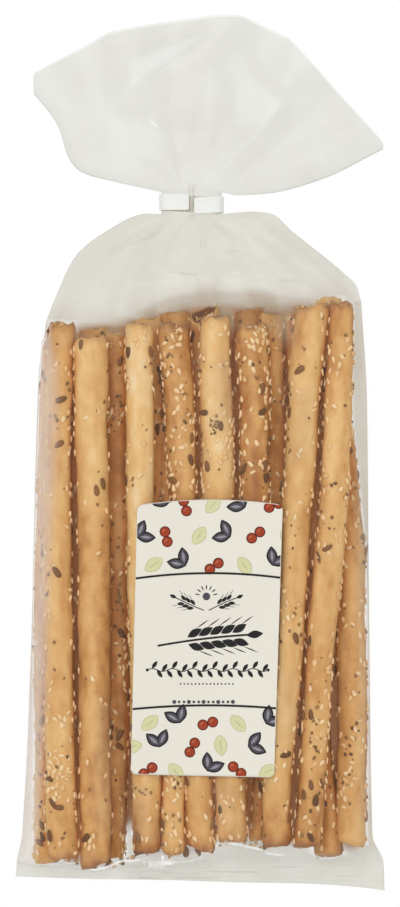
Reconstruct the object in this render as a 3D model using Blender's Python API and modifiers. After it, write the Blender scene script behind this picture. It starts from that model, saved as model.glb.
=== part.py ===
"""A clear bag of grissini breadsticks, tied with a white clip, lying on its back.

The bag, the clip that ties its neck and the label on its front are three solids.
The bag is lofted along its length: a flat hem, the body over two layers of
breadsticks, the shoulders, the neck inside the clip, and the loose crown above it.
+Y runs from the hem to the crown, and the front faces +Z.
"""

import math

import bmesh
import bpy

MM = 0.001

# The breadsticks in the front layer, from left to right. Each has where its foot is
# across and along, how far it leans across on its way up, and its length.
STICK_LENGTH = 209 * MM
FRONT_STICKS = (
    (-54.0 * MM, -160.3 * MM, -0.4 * MM, STICK_LENGTH + 2.5 * MM),
    (-41.0 * MM, -162.7 * MM, -1.8 * MM, STICK_LENGTH - 1.5 * MM),
    (-21.6 * MM, -157.6 * MM, -1.6 * MM, STICK_LENGTH - 1.5 * MM),
    (-11.0 * MM, -157.2 * MM, 2.8 * MM, STICK_LENGTH - 1.5 * MM),
    (0.0 * MM, -156.8 * MM, 5.9 * MM, STICK_LENGTH + 1.5 * MM),
    (12.2 * MM, -153.0 * MM, 8.6 * MM, STICK_LENGTH - 3.5 * MM),
    (30.2 * MM, -154.0 * MM, 14.5 * MM, STICK_LENGTH + 3.5 * MM),
    (41.6 * MM, -154.5 * MM, 14.5 * MM, STICK_LENGTH + 5.5 * MM),
)

# Heights above the surface that the bag lies on.
CREST_HEIGHT = 25.5 * MM  # the film over a front breadstick
SIDE_HEIGHT = 9.5 * MM  # the fold down each side
NECK_HEIGHT = 11.5 * MM
HEM_HEIGHT = 6.0 * MM
MOUTH_HEIGHT = 9.0 * MM

# The side folds of the hem and body: (along, across).
LEFT_EDGE = (
    (-166.8 * MM, -72.7 * MM),
    (-160.0 * MM, -72.0 * MM),
    (-150.0 * MM, -70.0 * MM),
    (-62.0 * MM, -66.0 * MM),
    (20.0 * MM, -63.8 * MM),
    (51.0 * MM, -60.6 * MM),
)
RIGHT_EDGE = (
    (-172.0 * MM, 72.7 * MM),
    (-161.0 * MM, 72.2 * MM),
    (-150.0 * MM, 67.8 * MM),
    (-62.0 * MM, 66.5 * MM),
    (20.0 * MM, 65.7 * MM),
    (60.0 * MM, 63.4 * MM),
)

# The side folds of the shoulders, from the body to the neck: (across, along).
LEFT_SHOULDER = (
    (-56.5 * MM, 62.0 * MM),
    (-48.8 * MM, 77.5 * MM),
    (-37.5 * MM, 86.8 * MM),
    (-20.5 * MM, 94.2 * MM),
)
RIGHT_SHOULDER = (
    (61.4 * MM, 66.0 * MM),
    (57.0 * MM, 70.4 * MM),
    (36.2 * MM, 87.2 * MM),
    (27.5 * MM, 94.3 * MM),
    (21.0 * MM, 95.0 * MM),
    (13.5 * MM, 94.5 * MM),
)

# The hem: a flat seal whose lower edge drops towards its right corner.
HEM_HALF_WIDTH = 72.7 * MM
HEM_LEFT = -166.8 * MM
HEM_DROP = 3.3 * MM
HEM_CORNER_DROP = 1.9 * MM
HEM_CORNER_POWER = 10  # how close to the corner its own drop stays
HEM_SLOPE_SHARE = 0.5  # how much of the hem the film takes to come down flat
HEM_THICKNESS = 0.9 * MM
HEM_WAVE = 1.2 * MM
HEM_WAVES = 2.5

# The neck, gathered flat inside the clip.
NECK_START = 93.9 * MM
NECK_END = 102.6 * MM
NECK_MIDDLE = -3.35 * MM
NECK_WIDTH = 23.7 * MM
NECK_THICKNESS = 3.2 * MM

# The crown above the clip: its side folds from the neck, and its mouth, which has
# straight stretches between fold corners.
LEFT_CROWN = (
    (-33.0 * MM, 106.6 * MM),
    (-46.8 * MM, 110.6 * MM),
    (-51.5 * MM, 116.0 * MM),
    (-56.0 * MM, 129.0 * MM),
    (-65.4 * MM, 141.5 * MM),
)
RIGHT_CROWN = (
    (14.5 * MM, 101.4 * MM),
    (26.0 * MM, 102.0 * MM),
    (47.0 * MM, 107.4 * MM),
    (72.0 * MM, 119.6 * MM),
)
MOUTH = (
    (-65.4 * MM, 141.5 * MM),
    (-65.6 * MM, 149.2 * MM),
    (-35.5 * MM, 165.3 * MM),
    (-11.0 * MM, 169.9 * MM),
    (9.0 * MM, 172.0 * MM),
    (17.0 * MM, 171.7 * MM),
    (35.0 * MM, 163.2 * MM),
    (46.0 * MM, 151.2 * MM),
    (72.2 * MM, 122.0 * MM),
    (72.0 * MM, 119.6 * MM),
)
SIDE_PULL_FADE = 3  # how fast a side fold's bend fades towards the middle
MOUTH_THICKNESS = 8.0 * MM
CROWN_PLEATS = 4.5
CROWN_PLEAT_DEPTH = 1.8 * MM

# How the film hangs between two crests: its sag grows with the square of the span.
SAG_PER_SPAN_SQUARED = 6.0  # metres of sag per square metre

# How the film comes down to a side fold: round where the fold is close to the last
# breadstick, and straighter where it is far from it.
ROUND_SIDE_SPAN = 11 * MM
ROUND_SIDE_POWER = 2.4
STRAIGHT_SIDE_POWER = 1.15
UNDERSIDE_POWER = 3

# The clip: a band folded round the neck, whose two ends meet at the front.
CLIP_WIDTH = 25.4 * MM
CLIP_BAND = 6.8 * MM
CLIP_THICKNESS = 0.6 * MM
CLIP_INNER_GAP = 0.3 * MM
CLIP_END_GAP = 1.8 * MM
CLIP_LEFT_ALONG = 98.6 * MM
CLIP_RIGHT_ALONG = 98.2 * MM
CLIP_FREE_END_ALONG = 97.7 * MM

# The label on the front, a paper plate with round corners and an arched top.
LABEL_CORNERS = (
    (-26.9 * MM, -124.8 * MM),
    (28.8 * MM, -126.0 * MM),
    (32.2 * MM, -20.0 * MM),
    (-24.4 * MM, -20.1 * MM),
)
LABEL_ARCH = 2.1 * MM
LABEL_CORNER_RADIUS = 2.2 * MM
LABEL_THICKNESS = 0.4 * MM
LABEL_GAP = 0.3 * MM

# How finely the loft is stepped.
SIDE_SHARES = (1.0, 0.93, 0.75, 0.42)  # columns from a side fold in to the first crest
STEPS_BETWEEN_CRESTS = 5
HEM_STEPS = (1.0, 0.8, 0.6, 0.42, 0.28, 0.15, 0.06)
BODY_STEPS = 14
SHOULDER_STEPS = 10
CROWN_STEPS = 11
CLIP_BEND_STEPS = 8
LABEL_CORNER_STEPS = 4
LABEL_TOP_STEPS = 12


def mix(a, b, share):
    return a + (b - a) * share


def smooth_curve(points, at):
    """The value at a place along a smooth curve that never overshoots its points."""
    if at <= points[0][0]:
        return points[0][1]
    if at >= points[-1][0]:
        return points[-1][1]
    slopes = [
        (b[1] - a[1]) / (b[0] - a[0]) for a, b in zip(points, points[1:])
    ]

    def slope_at(k):
        if k == 0 or k == len(points) - 1:
            return slopes[min(k, len(slopes) - 1)]
        before, after = slopes[k - 1], slopes[k]
        if before * after <= 0:
            return 0.0
        return 2 * before * after / (before + after)

    k = next(i for i, point in enumerate(points[1:]) if at <= point[0])
    (x0, y0), (x1, y1) = points[k], points[k + 1]
    width = x1 - x0
    t = (at - x0) / width
    return (
        (1 + 2 * t) * (1 - t) ** 2 * y0
        + t * (1 - t) ** 2 * width * slope_at(k)
        + t * t * (3 - 2 * t) * y1
        - t * t * (1 - t) * width * slope_at(k + 1)
    )


def path_point(points, share, smooth=True):
    """The point of a path at a share of its length."""
    reached = [0.0]
    for a, b in zip(points, points[1:]):
        reached.append(reached[-1] + math.dist(a, b))
    at = share * reached[-1]
    if smooth:
        return [smooth_curve([(r, p[axis]) for r, p in zip(reached, points)], at) for axis in (0, 1)]
    k = next((i for i, r in enumerate(reached[1:]) if at <= r), len(points) - 2)
    part = (at - reached[k]) / (reached[k + 1] - reached[k])
    return [mix(points[k][axis], points[k + 1][axis], part) for axis in (0, 1)]


def stick_across(stick, along):
    foot_across, foot, lean, length = stick
    return foot_across + lean * (along - foot) / length


def make_columns():
    """The columns of points across the bag, from the left fold to the right one.

    Each is (kind, crest number, share): beside the first or last crest, the share is
    of the way out to the fold, and between crests it is of the way to the next one.
    """
    last = len(FRONT_STICKS) - 1
    columns = [("left", 0, share) for share in SIDE_SHARES]
    for crest in range(last):
        for step in range(STEPS_BETWEEN_CRESTS):
            columns.append(("between", crest, step / STEPS_BETWEEN_CRESTS))
    columns.append(("between", last, 0.0))
    columns += [("right", last, share) for share in reversed(SIDE_SHARES)]
    return columns


COLUMNS = make_columns()
LAST_COLUMN = len(COLUMNS) - 1


def column_end(column, end):
    """How far along the bag a column's breadsticks have their foot or their top."""
    kind, crest, share = column
    ends = [
        foot if end == "foot" else foot + length
        for _, foot, _, length in FRONT_STICKS[crest:crest + 2]
    ]
    return ends[0] if kind != "between" or share == 0 else mix(*ends, share)


def column_span(column, along):
    """Where a column's crest is across the bag, and the fold or crest it runs out to."""
    kind, crest, _ = column
    crest_across = stick_across(FRONT_STICKS[crest], along)
    if kind == "left":
        return crest_across, smooth_curve(LEFT_EDGE, along)
    if kind == "right":
        return crest_across, smooth_curve(RIGHT_EDGE, along)
    neighbour = FRONT_STICKS[min(crest + 1, len(FRONT_STICKS) - 1)]
    return crest_across, stick_across(neighbour, along)


def column_across(column, along):
    return mix(*column_span(column, along), column[2])


def column_heights(column, along):
    """The film's heights over and under the breadsticks: (front, back)."""
    kind, _, share = column
    start, end = column_span(column, along)
    span = abs(end - start)
    if kind == "between":
        sag = SAG_PER_SPAN_SQUARED * span * span * math.sin(math.pi * share) ** 2
        return CREST_HEIGHT - sag, 0.0
    power = max(STRAIGHT_SIDE_POWER, ROUND_SIDE_POWER * min(1.0, ROUND_SIDE_SPAN / span))
    front = SIDE_HEIGHT + (CREST_HEIGHT - SIDE_HEIGHT) * (1 - share**power)
    past_flat = max(0.0, 1 - span * (1 - share) / ROUND_SIDE_SPAN)
    return front, SIDE_HEIGHT * past_flat**UNDERSIDE_POWER


def hem_along(across):
    """The hem's lower edge, which drops most near its right corner."""
    share = (across + HEM_HALF_WIDTH) / (2 * HEM_HALF_WIDTH)
    return HEM_LEFT - HEM_DROP * share - HEM_CORNER_DROP * share**HEM_CORNER_POWER


def hem_height(across):
    wave = math.sin(math.pi * HEM_WAVES * across / HEM_HALF_WIDTH)
    return HEM_HEIGHT + HEM_WAVE * wave


def hem_row(share):
    """Points at a share of the way from the breadsticks' feet to the hem's edge."""
    front, back = [], []
    for column in COLUMNS:
        kind, _, outward = column
        foot = column_end(column, "foot")
        start, end = column_span(column, foot)
        if kind != "between":
            end = math.copysign(HEM_HALF_WIDTH, end)
        along = mix(foot, hem_along(mix(start, end, outward)), share)
        if kind != "between":
            end = column_span(column, along)[1]
        across = mix(start, end, outward)
        over, under = column_heights(column, foot)
        lift = (1 - min(1.0, share / HEM_SLOPE_SHARE)) ** 2
        middle = hem_height(across)
        half = 0.0 if outward == 1 else HEM_THICKNESS / 2
        front.append((across, along, mix(middle + half, over, lift)))
        back.append((across, along, mix(middle - half, under, lift)))
    return front, back


def body_row(share):
    """Points at a share of the way from the breadsticks' feet to their tops."""
    front, back = [], []
    for column in COLUMNS:
        along = mix(column_end(column, "foot"), column_end(column, "top"), share)
        across = column_across(column, along)
        over, under = column_heights(column, along)
        front.append((across, along, over))
        back.append((across, along, under))
    return front, back


def neck_corner(side, along):
    return NECK_MIDDLE + side * NECK_WIDTH / 2, along


def lens(share):
    """How full a gathered section is at a share of its width: 1 in the middle."""
    return math.sqrt(1 - abs(2 * share - 1) ** 3)


def side_pulls(left, right, share):
    """How much of each side fold's own bend a place between the folds follows."""
    return left * (1 - share) ** SIDE_PULL_FADE + right * share**SIDE_PULL_FADE


def shoulder_row(share):
    """Points at a share of the way from the breadsticks' tops to the neck."""
    left_top, right_top = column_end(COLUMNS[0], "top"), column_end(COLUMNS[-1], "top")
    left_start = (smooth_curve(LEFT_EDGE, left_top), left_top)
    right_start = (smooth_curve(RIGHT_EDGE, right_top), right_top)
    left = path_point((left_start, *LEFT_SHOULDER, neck_corner(-1, NECK_START)), share)
    right = path_point((right_start, *RIGHT_SHOULDER, neck_corner(1, NECK_START)), share)
    left_bend = left[1] - mix(left_top, NECK_START, share)
    right_bend = right[1] - mix(right_top, NECK_START, share)
    front, back = [], []
    for number, column in enumerate(COLUMNS):
        top = column_end(column, "top")
        at_top = (column_across(column, top) - left_start[0]) / (right_start[0] - left_start[0])
        at_neck = number / LAST_COLUMN
        place = mix(at_top, at_neck, share)
        across = mix(left[0], right[0], place)
        along = mix(top, NECK_START, share) + side_pulls(left_bend, right_bend, place)
        over, under = column_heights(column, top)
        half = NECK_THICKNESS / 2 * lens(at_neck)
        front.append((across, along, mix(over, NECK_HEIGHT + half, share)))
        back.append((across, along, mix(under, NECK_HEIGHT - half, share)))
    return front, back


def crown_row(share):
    """Points at a share of the way from the neck up to the mouth."""
    left_neck, right_neck = neck_corner(-1, NECK_END), neck_corner(1, NECK_END)
    left = path_point((left_neck, *LEFT_CROWN), share)
    right = path_point((right_neck, *RIGHT_CROWN), share)
    front, back = [], []
    for number in range(LAST_COLUMN + 1):
        place = number / LAST_COLUMN
        mouth = path_point(MOUTH, place, smooth=False)
        spot = []
        for axis in (0, 1):
            left_bend = left[axis] - mix(left_neck[axis], LEFT_CROWN[-1][axis], share)
            right_bend = right[axis] - mix(right_neck[axis], RIGHT_CROWN[-1][axis], share)
            neck = mix(left_neck[axis], right_neck[axis], place)
            spot.append(mix(neck, mouth[axis], share) + side_pulls(left_bend, right_bend, place))
        thickness = mix(NECK_THICKNESS, MOUTH_THICKNESS, math.sqrt(share))
        half = thickness / 2 * lens(place)
        pleat = CROWN_PLEAT_DEPTH * math.sin(2 * math.pi * CROWN_PLEATS * place)
        middle = mix(NECK_HEIGHT, MOUTH_HEIGHT, share) + pleat * lens(place) * share
        front.append((*spot, middle + half))
        back.append((*spot, middle - half))
    return front, back


def bag_rows():
    rows = [hem_row(share) for share in HEM_STEPS]
    rows += [body_row(step / BODY_STEPS) for step in range(BODY_STEPS + 1)]
    rows += [shoulder_row(step / SHOULDER_STEPS) for step in range(1, SHOULDER_STEPS + 1)]
    rows += [crown_row(step / CROWN_STEPS) for step in range(CROWN_STEPS + 1)]
    return rows


def make_object(name, mesh, collection, material):
    thing = bpy.data.objects.new(name, mesh)
    thing.data.materials.append(material)
    collection.objects.link(thing)
    return thing


def make_bag(collection, material):
    """Skins the rows of points. A row's front and back share their end points."""
    shape = bmesh.new()
    rings = []
    for front, back in bag_rows():
        ring = [shape.verts.new(point) for point in front]
        ring += [shape.verts.new(point) for point in reversed(back[1:-1])]
        rings.append(ring)
    around = len(rings[0])
    for lower, upper in zip(rings, rings[1:]):
        for here in range(around):
            after = (here + 1) % around
            shape.faces.new((lower[here], upper[here], upper[after], lower[after]))
    for ring in (rings[0], rings[-1]):
        for step in range(LAST_COLUMN):
            over = [ring[step], ring[step + 1]]
            under = [ring[around - step - 1], ring[(around - step) % around]]
            corners = dict.fromkeys(over + under)  # a fold's single point comes up twice
            shape.faces.new(tuple(corners))
    bmesh.ops.recalc_face_normals(shape, faces=shape.faces)
    mesh = bpy.data.meshes.new("bag")
    shape.to_mesh(mesh)
    shape.free()
    mesh.shade_smooth()
    return make_object("bag", mesh, collection, material)


def clip_path():
    """The band's middle line, end to end, as points (across, along, height)."""
    rise = NECK_THICKNESS / 2 + CLIP_INNER_GAP + CLIP_THICKNESS / 2
    reach = CLIP_WIDTH / 2 - CLIP_THICKNESS / 2 - rise
    turns = [math.pi * step / CLIP_BEND_STEPS for step in range(CLIP_BEND_STEPS + 1)]
    path = [(-CLIP_END_GAP / 2, CLIP_LEFT_ALONG, rise)]
    for turn in turns:
        path.append((-reach - rise * math.sin(turn), CLIP_LEFT_ALONG, rise * math.cos(turn)))
    for turn in reversed(turns):
        path.append((reach + rise * math.sin(turn), CLIP_RIGHT_ALONG, rise * math.cos(turn)))
    path.append((CLIP_END_GAP / 2, CLIP_FREE_END_ALONG, rise))
    return [(NECK_MIDDLE + x, y, NECK_HEIGHT + z) for x, y, z in path]


def make_clip(collection, material):
    """A strip of faces laid along the band's path, with a wall thickness."""
    path = clip_path()
    shape = bmesh.new()
    bmesh.ops.create_grid(shape, x_segments=len(path) - 1, y_segments=1, size=0.5)
    for vert in shape.verts:
        across, along, height = path[round((vert.co.x + 0.5) * (len(path) - 1))]
        vert.co = (across, along + vert.co.y * CLIP_BAND, height)
    mesh = bpy.data.meshes.new("clip")
    shape.to_mesh(mesh)
    shape.free()
    clip = make_object("clip", mesh, collection, material)
    wall = clip.modifiers.new("wall", "SOLIDIFY")
    wall.thickness = CLIP_THICKNESS
    wall.offset = 0
    wall.use_even_offset = True
    return clip


def rounded_corner(before, corner, after):
    """The points of a round corner of the label."""
    start = [mix(c, b, LABEL_CORNER_RADIUS / math.dist(corner, before)) for c, b in zip(corner, before)]
    end = [mix(c, a, LABEL_CORNER_RADIUS / math.dist(corner, after)) for c, a in zip(corner, after)]
    points = []
    for step in range(LABEL_CORNER_STEPS + 1):
        share = step / LABEL_CORNER_STEPS
        points.append([
            mix(mix(s, c, share), mix(c, e, share), share) for s, c, e in zip(start, corner, end)
        ])
    return points


def label_outline():
    """Four round corners, and an arch along the top, which runs from right to left."""
    foot_left, foot_right, top_right, top_left = LABEL_CORNERS
    foot = rounded_corner(top_left, foot_left, foot_right)
    foot += rounded_corner(foot_left, foot_right, top_right)
    right_corner = rounded_corner(foot_right, top_right, top_left)
    left_corner = rounded_corner(top_right, top_left, foot_left)
    top = right_corner
    for step in range(1, LABEL_TOP_STEPS):
        share = step / LABEL_TOP_STEPS
        top.append([mix(a, b, share) for a, b in zip(right_corner[LABEL_CORNER_STEPS], left_corner[0])])
    top += left_corner
    for point in top:
        share = (point[0] - top_left[0]) / (top_right[0] - top_left[0])
        point[1] += LABEL_ARCH * 4 * share * (1 - share)
    return foot + top


def make_label(collection, material):
    curve = bpy.data.curves.new("label", "CURVE")
    curve.dimensions = "2D"
    curve.fill_mode = "BOTH"
    curve.extrude = LABEL_THICKNESS / 2
    outline = label_outline()
    line = curve.splines.new("POLY")
    line.points.add(len(outline) - 1)
    for point, (across, along) in zip(line.points, outline):
        point.co = (across, along, 0, 1)
    line.use_cyclic_u = True
    label = make_object("label", curve, collection, material)
    label.location.z = CREST_HEIGHT + LABEL_GAP + LABEL_THICKNESS / 2
    return label


def make_material(name, colour, roughness):
    material = bpy.data.materials.new(name)
    material.use_nodes = True
    shader = material.node_tree.nodes["Principled BSDF"]
    shader.inputs["Base Color"].default_value = (*colour, 1)
    shader.inputs["Roughness"].default_value = roughness
    shader.inputs["Metallic"].default_value = 0
    return material


def main():
    for thing in list(bpy.data.objects):
        bpy.data.objects.remove(thing)
    collection = bpy.data.collections.new("bag_of_breadsticks")
    bpy.context.scene.collection.children.link(collection)
    make_bag(collection, make_material("filled film", (0.66, 0.47, 0.27), 0.35))
    make_clip(collection, make_material("clip plastic", (0.88, 0.88, 0.86), 0.5))
    make_label(collection, make_material("label paper", (0.83, 0.80, 0.72), 0.6))


main()
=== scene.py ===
import math
import random

import bmesh
import bpy
import numpy as np
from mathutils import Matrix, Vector, noise
from mathutils.bvhtree import BVHTree


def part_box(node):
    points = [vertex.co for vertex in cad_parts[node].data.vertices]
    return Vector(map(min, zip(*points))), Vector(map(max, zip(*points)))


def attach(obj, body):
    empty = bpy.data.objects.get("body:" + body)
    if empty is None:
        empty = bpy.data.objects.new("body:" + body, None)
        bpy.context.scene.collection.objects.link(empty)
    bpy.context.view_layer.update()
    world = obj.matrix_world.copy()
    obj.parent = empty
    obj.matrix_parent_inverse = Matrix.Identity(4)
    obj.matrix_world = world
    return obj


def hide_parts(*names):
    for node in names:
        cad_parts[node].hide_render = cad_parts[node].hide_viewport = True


mm = 0.001

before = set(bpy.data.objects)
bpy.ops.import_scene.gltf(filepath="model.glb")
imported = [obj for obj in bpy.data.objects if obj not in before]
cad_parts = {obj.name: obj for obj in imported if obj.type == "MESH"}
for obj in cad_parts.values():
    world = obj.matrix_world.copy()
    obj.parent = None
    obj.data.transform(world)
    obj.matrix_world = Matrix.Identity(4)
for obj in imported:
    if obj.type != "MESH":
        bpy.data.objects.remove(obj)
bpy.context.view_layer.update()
bagLow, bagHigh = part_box("bag")
clipLow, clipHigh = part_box("clip")
labelLow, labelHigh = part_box("label")
print("frame loaded:", sorted(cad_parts))


# small helpers for shapes

def mix(a, b, share):
    return a + (b - a) * share


def smoothStep(low, high, at):
    # 0 at low and before it, 1 at high and after it, either way round
    share = min(1.0, max(0.0, (at - low) / (high - low)))
    return share * share * (3 - 2 * share)


def smoothCurve(points, at):
    # a smooth line through (at, value) points that never overshoots them
    if at <= points[0][0]:
        return points[0][1]
    if at >= points[-1][0]:
        return points[-1][1]
    slopes = [(b[1] - a[1]) / (b[0] - a[0]) for a, b in zip(points, points[1:])]

    def slopeAt(k):
        if k == 0 or k == len(points) - 1:
            return slopes[min(k, len(slopes) - 1)]
        before, after = slopes[k - 1], slopes[k]
        if before * after <= 0:
            return 0.0
        return 2 * before * after / (before + after)

    k = next(i for i, point in enumerate(points[1:]) if at <= point[0])
    (x0, y0), (x1, y1) = points[k], points[k + 1]
    width = x1 - x0
    t = (at - x0) / width
    return ((1 + 2 * t) * (1 - t) ** 2 * y0 + t * (1 - t) ** 2 * width * slopeAt(k)
            + t * t * (3 - 2 * t) * y1 - t * t * (1 - t) * width * slopeAt(k + 1))


def pathPoint(points, share, smooth=True):
    # the point of a path at a share of its length
    reached = [0.0]
    for a, b in zip(points, points[1:]):
        reached.append(reached[-1] + math.dist(a, b))
    at = share * reached[-1]
    if smooth:
        return [smoothCurve([(r, p[axis]) for r, p in zip(reached, points)], at) for axis in (0, 1)]
    k = next((i for i, r in enumerate(reached[1:]) if at <= r), len(points) - 2)
    part = (at - reached[k]) / (reached[k + 1] - reached[k])
    return [mix(points[k][axis], points[k + 1][axis], part) for axis in (0, 1)]


def noiseAt(x, y, z=0.0):
    return noise.noise(Vector((x, y, z)))


def ridgedNoise(x, y, z=0.0):
    # sharp creases where the noise crosses zero: 1 on a crease, 0 away from it
    return 1 - min(1.0, abs(noiseAt(x, y, z)) * 2.6)


def meshPiece(name, points, faces, material, smooth=True):
    mesh = bpy.data.meshes.new(name)
    mesh.from_pydata([tuple(point) for point in points], [], faces)
    mesh.update()
    mesh.materials.append(material)
    if smooth:
        mesh.shade_smooth()
    piece = bpy.data.objects.new(name, mesh)
    bpy.context.scene.collection.objects.link(piece)
    return piece


def addValues(piece, name, values):
    # one number for each point of the piece, which its material reads
    attribute = piece.data.attributes.new(name, "FLOAT", "POINT")
    attribute.data.foreach_set("value", np.asarray(values, dtype=np.float32))


# small helpers for materials

def newMaterial(name):
    material = bpy.data.materials.new(name)
    material.use_nodes = True
    shader = material.node_tree.nodes["Principled BSDF"]
    return material, material.node_tree, shader


def addNode(tree, kind, inputs=None, **settings):
    node = tree.nodes.new("ShaderNode" + kind)
    for name, value in settings.items():
        setattr(node, name, value)
    for name, value in (inputs or {}).items():
        if isinstance(value, bpy.types.NodeSocket):
            tree.links.new(value, node.inputs[name])
        else:
            node.inputs[name].default_value = value
    return node


def addRamp(tree, factor, stops):
    ramp = addNode(tree, "ValToRGB", {"Fac": factor})
    while len(ramp.color_ramp.elements) < len(stops):
        ramp.color_ramp.elements.new(0.5)
    for element, (place, colour) in zip(ramp.color_ramp.elements, stops):
        element.position = place
        element.color = (*colour, 1)
    return ramp.outputs["Color"]


def addMath(tree, operation, a, b, clamp=False):
    return addNode(tree, "Math", {0: a, 1: b}, operation=operation, use_clamp=clamp).outputs[0]


def readValues(tree, name):
    return addNode(tree, "Attribute", attribute_name=name).outputs["Fac"]


def noiseTexture(tree, place, scale, detail=3.0, roughness=0.5, stretch=None):
    if stretch:
        place = addNode(tree, "Mapping", {"Vector": place, "Scale": stretch}).outputs["Vector"]
    texture = addNode(tree, "TexNoise", {"Vector": place, "Scale": scale, "Detail": detail,
                                         "Roughness": roughness})
    return texture.outputs["Fac"]


def objectPlace(tree):
    return addNode(tree, "TexCoord").outputs["Object"]


def addBump(tree, shader, height, strength, distance):
    bump = addNode(tree, "Bump", {"Height": height, "Strength": strength, "Distance": distance})
    tree.links.new(bump.outputs["Normal"], shader.inputs["Normal"])
    return bump.outputs["Normal"]


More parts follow.
